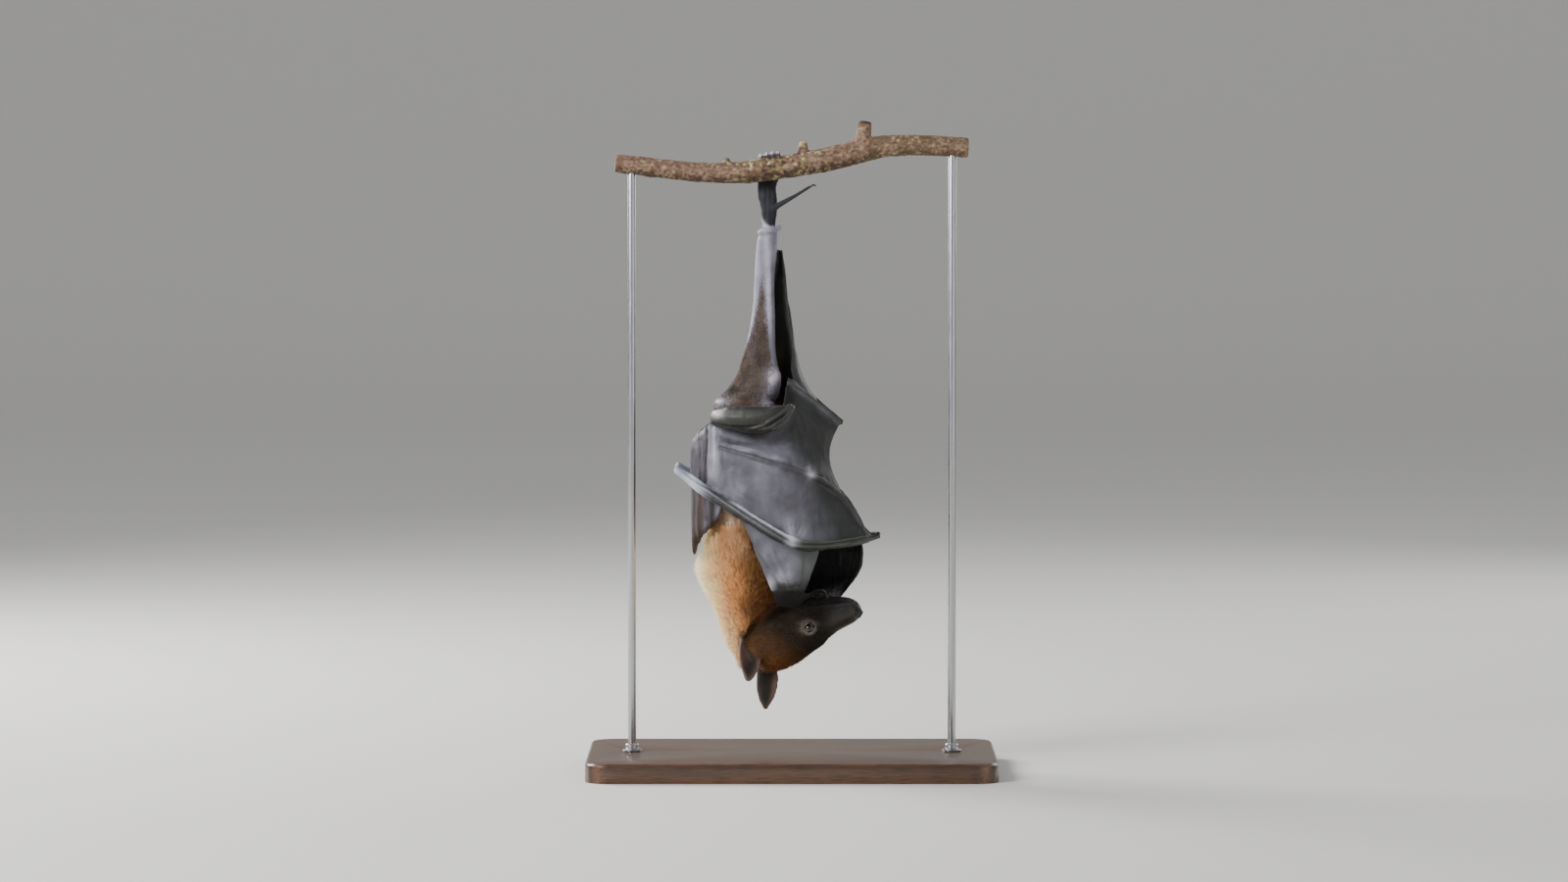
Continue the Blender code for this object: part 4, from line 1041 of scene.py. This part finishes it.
# Wet eyeball: the clear front gives a sharp highlight over a brown iris ring 5 mm across
moist, tree, shader = new_material("moist_eye")
ring_place = add_node(tree, "ShaderNodeAttribute", attribute_name="iris").outputs["Fac"]
iris = add_node(tree, "ShaderNodeValToRGB", {"Fac": ring_place})
stops = iris.color_ramp
stops.elements[0].position, stops.elements[0].color = 0.0, (*srgb("050303"), 1)
stops.elements[1].position, stops.elements[1].color = 1.0, (*srgb("120A08"), 1)
for place, code in ((0.36, "050303"), (0.44, "23130B"), (0.60, "301A0E"), (0.72, "120A08")):
    stops.elements.new(place).color = (*srgb(code), 1)
set_inputs(tree, shader, {
    "Base Color": iris.outputs["Color"], "Roughness": 0.12, "IOR": 1.38, "Coat Weight": 1.0,
    "Coat Roughness": 0.03,
})

for side, word in ((-1, "left"), (1, "right")):
    middle, looks, _, _ = eye_axes(side)
    bpy.ops.mesh.primitive_uv_sphere_add(
        segments=48, ring_count=32, radius=EYE_RADIUS * MM, location=tuple(middle * MM)
    )
    eye = bpy.context.object
    eye.name = eye.data.name = f"eyeball_{word}"
    eye.rotation_euler = Vector(looks).to_track_quat("Z", "Y").to_euler()
    bpy.ops.object.transform_apply(location=True, rotation=True, scale=True)
    place = points_of(eye.data)
    away = place - middle * MM
    facing = (away @ looks) / np.linalg.norm(away, axis=1)
    set_points(eye.data, place + away * (0.07 * ramp(facing, 0.80, 0.97))[:, None])
    layer = eye.data.attributes.new("iris", "FLOAT", "POINT")
    layer.data.foreach_set("value", np.arccos(np.clip(facing, -1, 1)) / 1.1)
    eye.data.shade_smooth()
    eye.data.materials.append(moist)
    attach(eye, "root")
    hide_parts(f"eye_{word}")


# ---- Coat: dense soft fur in small pointed tufts, rooted in the skin. It is longest and loosest
# on the mane, short and flat on the crown and leg, and ends short of the muzzle

skin.data.calc_loop_triangles()
triangle_count = len(skin.data.loop_triangles)
triangles = np.empty(triangle_count * 3, dtype=np.int32)
skin.data.loop_triangles.foreach_get("vertices", triangles)
triangles = triangles.reshape(-1, 3)
skin_tree = BVHTree.FromPolygons([Vector(p) for p in skin_points], triangles.tolist())
corner = skin_points[triangles]
triangle_area = np.linalg.norm(
    np.cross(corner[:, 1] - corner[:, 0], corner[:, 2] - corner[:, 0]), axis=1
) * 5e5


def unit(vectors):
    return vectors / np.maximum(np.linalg.norm(vectors, axis=1), 1e-9)[:, None]


def scattered(weight, per_mm2, seed):
    """Places on the skin, this many to a square mm where the weight is 1, with their data."""
    draw = np.random.default_rng(seed)
    share = triangle_area * weight[triangles].mean(axis=1) * per_mm2
    number = np.floor(share + draw.random(len(share))).astype(int)
    chosen = np.repeat(np.arange(len(share)), number)
    a, b = draw.random(len(chosen)), draw.random(len(chosen))
    over = a + b > 1
    a[over], b[over] = 1 - a[over], 1 - b[over]
    mix = np.column_stack((1 - a - b, a, b))
    picked = triangles[chosen]
    place = np.einsum("ij,ijk->ik", mix, skin_points[picked])
    normal = unit(np.einsum("ij,ijk->ik", mix, skin_normals[picked]))
    tint = np.einsum("ij,ijk->ik", mix, skin_colour[picked])
    return place, normal, tint


def in_the_open(place, normal):
    """True where some way out from the skin is clear for 60 mm."""
    clear = np.zeros(len(place), dtype=bool)
    for i, (p, n) in enumerate(zip(place, normal)):
        n = Vector(n)
        start = Vector(p) + n * 0.0006
        across = n.orthogonal()
        for way in (n, n + across, n - across, n + n.cross(across), n - n.cross(across)):
            if skin_tree.ray_cast(start, way.normalized(), 0.06)[0] is None:
                clear[i] = True
                break
    return clear


def open_roots(weight, per_mm2, seed):
    """Scattered places, without those that other skin closes in."""
    place, normal, tint = scattered(weight, per_mm2, seed)
    keep = in_the_open(place, normal)
    return place[keep], normal[keep], tint[keep]


TUFT_PATCH = 0.003  # side of each tuft's patch on its unwrap
CLUMP, CLUMPING = 18, 0.55  # tufts to a clump, and how far their tips lean together
# The darker roots are painted shade deep in the coat; the tips are paler
TUFT_SHADES = np.array((0.68, 0.68, 0.68, 1.0, 1.0, 1.0, 1.22))  # root, middle and tip
PALEST = 0.93
BODY_AXIS = (-26.0, 0.0)


def grow_tufts(name, place, normal, lie, tint, length, width, stand, unwrap, seed, curl):
    """Tufts as one joined mesh: each a three-sided spike in two parts, bent towards the lie."""
    draw = np.random.default_rng(seed)
    count = len(place)
    gather = KDTree(max(count // CLUMP, 1))
    leaders = draw.permutation(count)[: max(count // CLUMP, 1)]
    for i, leader in enumerate(leaders):
        gather.insert(place[leader], i)
    gather.balance()
    lie = unit(lie - normal * np.sum(lie * normal, axis=1)[:, None])
    side = np.cross(normal, lie)
    sway = waves(place * 1000, 6, seed)[:, None] * side * 0.35
    rough = draw.normal(size=(count, 3)) * curl
    rises = (stand * draw.uniform(0.6, 1.4, count))[:, None]
    first = unit(lie + sway + normal * rises + rough)
    second = unit(lie + sway * 1.4 + normal * rises * 0.45 + rough * 2)
    long = length * draw.uniform(0.7, 1.25, count) * MM
    tip = place + (first + second) * (long / 2)[:, None]
    near = np.array([leaders[gather.find(p)[1]] for p in place])
    tip += (tip[near] - tip) * (CLUMPING * draw.uniform(0.3, 1.0, count))[:, None]
    lock = draw.uniform(0.86, 1.14, count)[near]
    way = unit(tip - place)
    for i in range(count):
        hit = skin_tree.ray_cast(Vector(place[i] + normal[i] * 0.0005), Vector(way[i]), long[i] * 1.1)
        if hit[0] is not None:
            long[i] = min(long[i], hit[3] * 0.85)
    keep = long > 0.0007
    place, normal, first, tip = (v[keep] for v in (place, normal, first, tip))
    way, long, tint, lock = way[keep], long[keep], tint[keep], lock[keep]
    count = len(place)
    tip = place + unit(tip - place) * long[:, None]
    middle = place + (first * 0.6 + way * 0.4) * (long * 0.5)[:, None]
    wide = (width * draw.uniform(0.75, 1.25, count) * MM / 2)[:, None]
    across = unit(np.cross(way, normal) + 1e-6)
    up = np.cross(across, way)
    verts = np.empty((count, 7, 3))
    for k, (a, b) in enumerate(((-1.0, -0.35), (1.0, -0.35), (0.0, 0.7))):
        verts[:, k] = place - normal * 0.0004 + (across * a + up * b) * wide
        verts[:, 3 + k] = middle + (across * a + up * b) * wide * 0.72
    verts[:, 6] = tip
    pattern = np.array([
        (0, 1, 4), (0, 4, 3), (1, 2, 5), (1, 5, 4), (2, 0, 3), (2, 3, 5), (3, 4, 6), (4, 5, 6),
        (5, 3, 6), (0, 2, 1),
    ])
    faces = (pattern[None] + (np.arange(count) * 7)[:, None, None]).reshape(-1, 3)
    mesh = bpy.data.meshes.new(name)
    mesh.vertices.add(count * 7)
    mesh.vertices.foreach_set("co", verts.ravel())
    mesh.loops.add(len(faces) * 3)
    mesh.loops.foreach_set("vertex_index", faces.ravel())
    mesh.polygons.add(len(faces))
    mesh.polygons.foreach_set("loop_start", np.arange(len(faces)) * 3)
    mesh.polygons.foreach_set("use_smooth", np.ones(len(faces), dtype=bool))
    mesh.update(calc_edges=True)
    shade = (lock * draw.uniform(0.9, 1.1, count))[:, None]
    tones = np.minimum(tint[:, None, :] * shade[:, None] * TUFT_SHADES[None, :, None], PALEST)
    set_colours(mesh, "marking", tones.reshape(-1, 3))
    corner_uv = np.array(((0, 0), (1, 0), (0.5, 0.4), (0.1, 0.6), (0.9, 0.6), (0.5, 0.8), (0.5, 1)))
    uv = unwrap(place * 1000)[:, None] + corner_uv[None] * TUFT_PATCH
    layer = mesh.uv_layers.new(name="OFBake")
    layer.data.foreach_set("uv", uv.reshape(-1, 2)[faces.ravel()].ravel())
    tuft = new_object(name, mesh)
    tuft.data.materials.append(fur)
    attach(tuft, "root")
    return tuft


def round_body(points_mm):
    """Unwrap of the body, opened down the belly: the turn round it and the level."""
    turn = np.arctan2(points_mm[:, 1] - BODY_AXIS[1], points_mm[:, 0] - BODY_AXIS[0])
    return np.column_stack((0.01 + 0.97 * (turn / (2 * math.pi) + 0.5), points_mm[:, 2] / 420.0))


def round_head(points_mm):
    """Unwrap of the head: the turn round its length and the place along it."""
    ahead, crown, right = head_parts(points_mm)
    turn = np.arctan2(right, crown)
    return np.column_stack((0.01 + 0.97 * (turn / (2 * math.pi) + 0.5), 0.1 + (ahead + 30) / 110.0))


# Fur: matt hair with a faint silky sheen; its colour is darker at the root than at the tip, the dark
# roots a painted shade in the coat
fur, tree, shader = new_material("soft_fur")
marking = add_node(tree, "ShaderNodeAttribute", attribute_name="marking").outputs["Color"]
set_inputs(tree, shader, {
    "Base Color": marking, "Roughness": 0.62, "Specular IOR Level": 0.3,
    "Sheen Weight": spread(tree, marking, 0.03, 0.35, 0.12, 0.5),
    "Sheen Roughness": 0.4, "Sheen Tint": (*srgb("F2DDBE"), 1),
})

UP = np.array((0.0, 0.0, 1.0))
on_neck = is_node(skin_labels, "neck").astype(float)
on_trunk = is_node(skin_labels, "trunk") * furred
on_head = is_node(skin_labels, "head") * furred
on_leg = is_node(skin_labels, "leg_right") * furred

# The mane, in four pieces by level, 4 to 9 mm long, each hair leaning up the hanging body
place, normal, tint = open_roots(on_neck, 6.6, 11)
level = place[:, 2] * 1000
lie = UP * ramp(level, 70, 100)[:, None] - to_nose * (1 - 0.8 * ramp(level, 70, 105))[:, None]
long = 4.5 + 3.2 * ramp(level, 75, 105)
shoulder = ramp(level, 126, 137) * ramp(-place[:, 0] * 1000, 38, 48)
long += 1.5 * shoulder
for side in (-1, 1):
    long *= 0.35 + 0.65 * ramp(line_distance(place * 1000, ear_line(side))[0], 8, 15)
cuts = np.quantile(level, (0.0, 0.25, 0.5, 0.75, 1.0))
for i in range(4):
    part = (level >= cuts[i]) & (level <= cuts[i + 1] - (i < 3) * 1e-6)
    made = grow_tufts(
        f"mane_fur_{i + 1}", place[part], normal[part], lie[part], tint[part], long[part], 0.42,
        0.5 + 0.3 * shoulder[part], round_body, 20 + i, 0.14,
    )

# The head: fine flat fur, shortest round the eyes, swept from the muzzle back over the crown
place, normal, tint = open_roots(on_head, 6.4, 12)
ahead, _, right = head_parts(place * 1000)
clear = np.ones(len(place), dtype=bool)
for side in (-1, 1):
    clear &= np.linalg.norm(place * 1000 - eye_axes(side)[0], axis=1) > 6.3
place, normal, tint, ahead, right = (v[clear] for v in (place, normal, tint, ahead, right))
long = 1.0 + 2.6 * (1 - ramp(ahead, -8, 24))
lie = np.tile(-to_nose, (len(place), 1)) + UP * 0.35 * (1 - ramp(ahead, -14, 4))[:, None]
for i, half in enumerate((right <= 0, right > 0)):
    made = grow_tufts(
        f"head_fur_{i + 1}", place[half], normal[half], lie[half], tint[half], long[half], 0.32,
        0.36, round_head, 30 + i, 0.1,
    )

# The body under the wings: sparse and curly, shortest at the hips
place, normal, tint = open_roots(on_trunk, 2.0, 13)
long = 5.0 - 3.2 * ramp(place[:, 2] * 1000, 196, 212)
made = grow_tufts(
    "body_fur", place, normal, np.tile(UP, (len(place), 1)), tint, long, 0.5, 0.4, round_body, 41,
    0.2,
)

# The leg: short fur that lies flat towards the foot
place, normal, tint = open_roots(on_leg, 4.4, 14)
long = 2.4 - 1.2 * ramp(place[:, 2] * 1000, 250, 310)
made = grow_tufts(
    "leg_fur", place, normal, np.tile(UP, (len(place), 1)), tint, long, 0.36, 0.3, round_body, 42,
    0.12,
)


# ---- Claws: curved horn hooks on the toes that hold the branch, on the free toe and the thumbs

# Horn: smooth, dense keratin, nearly black at the tip and paler at its root
horn, tree, shader = new_material("claw_horn")
marking = add_node(tree, "ShaderNodeAttribute", attribute_name="marking").outputs["Color"]
set_inputs(tree, shader, {"Base Color": marking, "Roughness": 0.32, "IOR": 1.54})

CLAW_SIDES = 10
claw_points, claw_faces, claw_tints = [], [], []


def add_claw(path, radius, root_code="6A5F58"):
    """A tapering hook along a path in mm, deeper than it is wide, closed at both ends."""
    path = [Vector(p) for p in path]
    first, last = len(claw_points), len(path) - 1
    for i, p in enumerate(path):
        ahead_way = (path[min(i + 1, last)] - path[max(i - 1, 0)]).normalized()
        bend = path[0] + path[last] - path[last // 2] * 2
        deep = (bend - ahead_way * bend.dot(ahead_way)).normalized()
        wide = ahead_way.cross(deep)
        share = i / last
        size = radius * (1 - share) ** 0.65 + 0.06
        for k in range(CLAW_SIDES):
            turn = 2 * math.pi * k / CLAW_SIDES
            claw_points.append(p + deep * size * math.cos(turn) + wide * size * 0.68 * math.sin(turn))
            pale, dark = np.array(srgb(root_code)), np.array(srgb("15110F"))
            claw_tints.append(pale + (dark - pale) * min(share * 1.6, 1))
    for i in range(last):
        for k in range(CLAW_SIDES):
            m = (k + 1) % CLAW_SIDES
            a, b = first + i * CLAW_SIDES, first + (i + 1) * CLAW_SIDES
            claw_faces.append((a + k, a + m, b + m, b + k))
    claw_faces.append([first + k for k in range(CLAW_SIDES)][::-1])
    claw_faces.append([first + last * CLAW_SIDES + k for k in range(CLAW_SIDES)])


# The toes reach over the branch from behind; each claw goes on round its near side
TOE_GRIP, CLAW_TURN = 96, 42  # degrees round the branch where the claws start, and how far they go
BRANCH_LINE = ((-108, 372.5, 5.8), (-35, 366.4, 6.6), (-14, 369, 7.4), (7, 372, 7.2), (31, 377, 7.8))
for toe_x in (-19.0, -15.4, -11.8, -8.2):
    middle_z = height_of(BRANCH_LINE, toe_x)
    thick = np.interp(toe_x, [b[0] for b in BRANCH_LINE], [b[2] for b in BRANCH_LINE])
    path = []
    for i in range(9):
        turn = math.radians(TOE_GRIP + CLAW_TURN * i / 8)
        reach = thick + 1.9 - 0.9 * i / 8
        path.append((toe_x + 0.15 * i, math.cos(turn) * reach, middle_z + math.sin(turn) * reach))
    add_claw(path, 1.25)
add_claw([
    (10.9, -4.2, 358.1), (12.2, -4.2, 358.9), (13.4, -4.2, 359.3), (14.4, -4.2, 359.0),
    (15.0, -4.2, 358.2),
], 0.85)
for side, wrist_z in ((-1, 113.0), (1, 105.0)):
    top = wrist_z - 0.3
    add_claw([
        (16.0, side * 33.8, top + 0.5), (18.2, side * 32.4, top + 0.3),
        (20.2, side * 31.2, top - 1.2), (21.4, side * 30.3, top - 3.4), (21.3, side * 29.8, top - 5.6),
    ], 1.25, "1D1815")
claw_mesh = bpy.data.meshes.new("claws")
claw_mesh.from_pydata([p * MM for p in claw_points], [], claw_faces)
set_colours(claw_mesh, "marking", np.array(claw_tints))
turn_outwards(claw_mesh)
claw_mesh.shade_smooth()
claws = new_object("claws", claw_mesh)
claws.data.materials.append(horn)
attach(claws, "root")


# ---- Perch: a cut length of living branch with its bark on, three snapped twig stubs and sawn
# ends, held on the two rods

branch = copy_of("perch_branch", "perch_bark")
apply_modifier(branch, "SUBSURF", levels=1, render_levels=1)
apply_modifier(branch, "REMESH", mode="VOXEL", voxel_size=0.62 * MM, adaptivity=0)
bark_edges = edges_of(branch.data)
place = points_of(branch.data)
sharp_end = 1 - ramp(108.4 - np.abs(place[:, 0] * 1000), 0.2, 1.2)
place = relaxed(place, bark_edges, 6, hold=sharp_end * 0.8, step=0.7)
set_points(branch.data, place)
bark_normal = normals_of(branch.data)
bark_mm = place * 1000
x, y, z = bark_mm.T
axis_z = np.interp(
    x, (-108, -101, -65, -35, -14, 7, 31, 55, 79, 108),
    (372.5, 372, 367.6, 366.4, 369, 372, 377, 383, 383.5, 382),
)
turn = np.arctan2(z - axis_z, y)
fissure = np.array([
    noise.noise(Vector((a * 0.10, math.cos(t) * 2.6 + 0.06 * a, math.sin(t) * 2.6)))
    for a, t in zip(x, turn)
])
flakes = np.array([noise.noise(Vector((a * 0.42, b * 0.5, c * 0.5))) for a, b, c in bark_mm])
knots = sum(
    bump(np.hypot((x - kx) / 3.2, (turn - kt) * 4.5), 1.0) for kx, kt in
    ((-88, -1.9), (-66, 2.4), (-52, -2.3), (-27, -1.4), (22, -1.9), (33, 2.3), (64, -2.4), (86, 1.2))
)
ends = ramp(108.2 - np.abs(x), 0.4, 1.6)
lift = -0.32 * np.abs(fissure) ** 0.6 + 0.3 * flakes + 0.9 * knots
lift = (lift - 0.6 * bump(knots - 1.0, 0.25) + 0.3) * ends
set_points(branch.data, place + bark_normal * (lift * MM)[:, None])
tone = np.tile(np.array(srgb("7E6152")), (len(x), 1))
tone = tinted(tone, "A38774", ramp(flakes, 0.05, 0.55) * 0.8)
tone = tinted(tone, "5C453A", ramp(0.10 - np.abs(fissure), 0.0, 0.09) * 0.5)
# Painted shade on the branch's underside
tone = tinted(tone, "3A2C20", ramp(-bark_normal[:, 2], -0.1, 0.7) * 0.85)
tone = tinted(tone, "6A5842", ramp(x, 20, 70) * 0.5)
blotch, spots, moss = (
    np.array([noise.noise(Vector((a, b, c)) * size + Vector((0, 0, lifted))) for a, b, c in bark_mm])
    for size, lifted in ((0.13, 3.0), (0.55, 11.0), (0.34, 29.0))
)
rough_part = 0.35 + 0.65 * bump((x + 4) / 30, 1.0)
tone = tinted(tone, "4E3A2E", ramp(-blotch - 0.4 * spots, 0.05, 0.4) * 0.6 * rough_part)
tone = tinted(tone, "A98E77", ramp(spots + 0.6 * blotch, 0.1, 0.5) * 0.4)
tone = tinted(tone, "2C211A", ramp(-spots, 0.2, 0.42) * 0.7 * rough_part)
upper = ramp(bark_normal[:, 2], -0.5, 0.5)
patches = sum(
    bump((x - middle) / wide, 1.0) * share for middle, wide, share in
    ((-8, 34, 0.9), (70, 16, 0.4), (-84, 12, 0.35))
)
tone = tinted(tone, "8A854F", ramp(moss, 0.08, 0.3) * patches * (0.4 + 0.6 * upper))
tone = tinted(tone, "CFC8AA", ramp(moss + 0.5 * spots, 0.38, 0.55) * patches * (0.3 + 0.7 * upper))
for stub_x, height, code in ((-39.6, 9.5, "6A4E40"), (6.6, 14.0, "B49A82"), (44, 18.0, "3E2C24")):
    over = z - np.interp(stub_x, (-39, 6, 42), (367, 372, 380)) - height
    tone = tinted(tone, code, ramp(over, -3.0, -0.6) * (np.abs(x - stub_x) < 7) * 0.85)
sawn = ramp(np.abs(x), 107.6, 108.1) * ramp(np.abs(bark_normal[:, 0]), 0.5, 0.8)
ring_gap = np.hypot(y, z - axis_z)
tone = tinted(tone, "C3A27A", sawn)
tone = tinted(tone, "94714C", sawn * (0.5 + 0.5 * np.sin(ring_gap * 7.5)) * 0.7)
set_colours(branch.data, "marking", tone)
branch.data.shade_smooth()

# Bark: dry and matt, flaking in fine plates under 1 mm, with olive and cream lichen in patches
bark, tree, shader = new_material("weathered_bark")
spot = add_node(tree, "ShaderNodeTexCoord").outputs["Object"]
marking = add_node(tree, "ShaderNodeAttribute", attribute_name="marking").outputs["Color"]
along_bark = add_node(tree, "ShaderNodeMapping", {"Vector": spot, "Scale": (0.35, 1.0, 1.0)})
fibre = fine_noise(tree, along_bark.outputs[0], 900.0, 5.0)
fibre.inputs["Roughness"].default_value = 0.65
fibre = fibre.outputs["Fac"]
set_inputs(tree, shader, {
    "Base Color": times(tree, marking, spread(tree, fibre, 0.3, 0.7, 0.6, 1.35)),
    "Normal": relief_of(tree, fibre, 0.6, 0.0006),
    "Roughness": 0.88, "Specular IOR Level": 0.3,
})
branch.data.materials.clear()
branch.data.materials.append(bark)
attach(branch, "root")
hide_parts("perch_branch")


# ---- Stand: a flat base of dark stained walnut under satin lacquer, with two steel rods pressed
# into it through small turned collars; the rods go up into the underside of the branch

base = copy_of("stand_base", "walnut_base")
apply_modifier(base, "BEVEL", width=0.35 * MM, segments=2, limit_method="ANGLE", angle_limit=0.5)
base.data.shade_smooth()
base.data.set_sharp_from_angle(angle=math.radians(35))

# Walnut: straight grain lines about 2 mm apart along the length, with darker bands between
walnut, tree, shader = new_material("stained_walnut")
spot = add_node(tree, "ShaderNodeTexCoord").outputs["Object"]
along_grain = add_node(
    tree, "ShaderNodeMapping", {"Vector": spot, "Scale": (0.06, 1.0, 1.0)}
).outputs[0]
swirl = fine_noise(tree, along_grain, 38.0, 3.0).outputs["Color"]
bent = add_node(tree, "ShaderNodeVectorMath", {
    0: swirl, 1: (0.0, 0.012, 0.012), 2: along_grain,
}, operation="MULTIPLY_ADD")
bands = add_node(tree, "ShaderNodeTexWave", {
    "Vector": bent.outputs[0], "Scale": 55.0, "Distortion": 2.5, "Detail": 2.0,
}, wave_type="BANDS", bands_direction="Y")
pores = fine_noise(tree, along_grain, 1400.0, 2.0).outputs["Fac"]
grain_colour = add_node(tree, "ShaderNodeValToRGB", {"Fac": bands.outputs["Fac"]})
stops = grain_colour.color_ramp
stops.elements[0].color = (*srgb("3A2518"), 1)
stops.elements[1].color = (*srgb("6B472E"), 1)
pore_shade = spread(tree, pores, 0.38, 0.55, 0.55, 1.0)
set_inputs(tree, shader, {
    "Base Color": times(tree, grain_colour.outputs["Color"], pore_shade),
    "Normal": relief_of(tree, pores, 0.2, 0.0002),
    "Roughness": 0.36, "Coat Weight": 0.4, "Coat Roughness": 0.18,
})
base.data.materials.clear()
base.data.materials.append(walnut)
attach(base, "root")
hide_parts("stand_base")

# Steel: drawn rod polished along its length, so its streaks run up it
steel, tree, shader = new_material("satin_steel_rod")
spot = add_node(tree, "ShaderNodeTexCoord").outputs["Object"]
drawn = add_node(tree, "ShaderNodeMapping", {"Vector": spot, "Scale": (1.0, 1.0, 0.03)})
streaks = fine_noise(tree, drawn.outputs[0], 2600.0, 3.0).outputs["Fac"]
set_inputs(tree, shader, {
    "Roughness": spread(tree, streaks, 0.3, 0.7, 0.22, 0.36),
    "Normal": relief_of(tree, streaks, 0.08, 0.0001),
    "Base Color": (*srgb("B9BABD"), 1), "Metallic": 1.0,
})

ROD_X, ROD_RADIUS, BASE_TOP = 98.0, 2.5, 12.0
for side, word in ((-1, "left"), (1, "right")):
    rod_low, rod_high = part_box(f"stand_rod_{word}")
    bpy.ops.object.select_all(action="DESELECT")
    bpy.ops.mesh.primitive_cylinder_add(
        vertices=40, radius=ROD_RADIUS * MM, depth=rod_high.z - rod_low.z,
        location=(side * ROD_X * MM, 0, (rod_high.z + rod_low.z) / 2),
    )
    rod = bpy.context.object
    rod.name = rod.data.name = f"steel_rod_{word}"
    bpy.ops.object.transform_apply(location=True, rotation=True, scale=True)
    apply_modifier(rod, "BEVEL", width=0.3 * MM, segments=3, limit_method="ANGLE")
    rod.data.shade_smooth()
    rod.data.set_sharp_from_angle(angle=math.radians(50))
    rod.data.materials.append(steel)
    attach(rod, "root")
    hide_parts(f"stand_rod_{word}")

    # The collar: turned in one piece, with a flange on the wood and a bead above it
    profile = ((2.55, 0.05), (6.0, 0.05), (6.2, 0.35), (6.2, 1.1), (5.8, 1.4), (4.3, 1.6), (3.9, 2.0),
               (3.9, 3.4), (4.25, 3.8), (4.25, 4.3), (3.9, 4.7), (2.55, 4.8))
    turned = bmesh.new()
    rings = []
    for k in range(48):
        turn = 2 * math.pi * k / 48
        rings.append([turned.verts.new((
            (side * ROD_X + r * math.cos(turn)) * MM, r * math.sin(turn) * MM, (BASE_TOP + h) * MM,
        )) for r, h in profile])
    for k in range(48):
        here, there = rings[k], rings[(k + 1) % 48]
        for m in range(len(profile)):
            n = (m + 1) % len(profile)
            turned.faces.new((here[m], there[m], there[n], here[n]))
    collar = new_object(f"rod_collar_{word}", bpy.data.meshes.new(f"rod_collar_{word}"))
    turned.to_mesh(collar.data)
    turned.free()
    turn_outwards(collar.data)
    collar.data.shade_smooth()
    collar.data.set_sharp_from_angle(angle=math.radians(40))
    collar.data.materials.append(steel)
    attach(collar, "root")
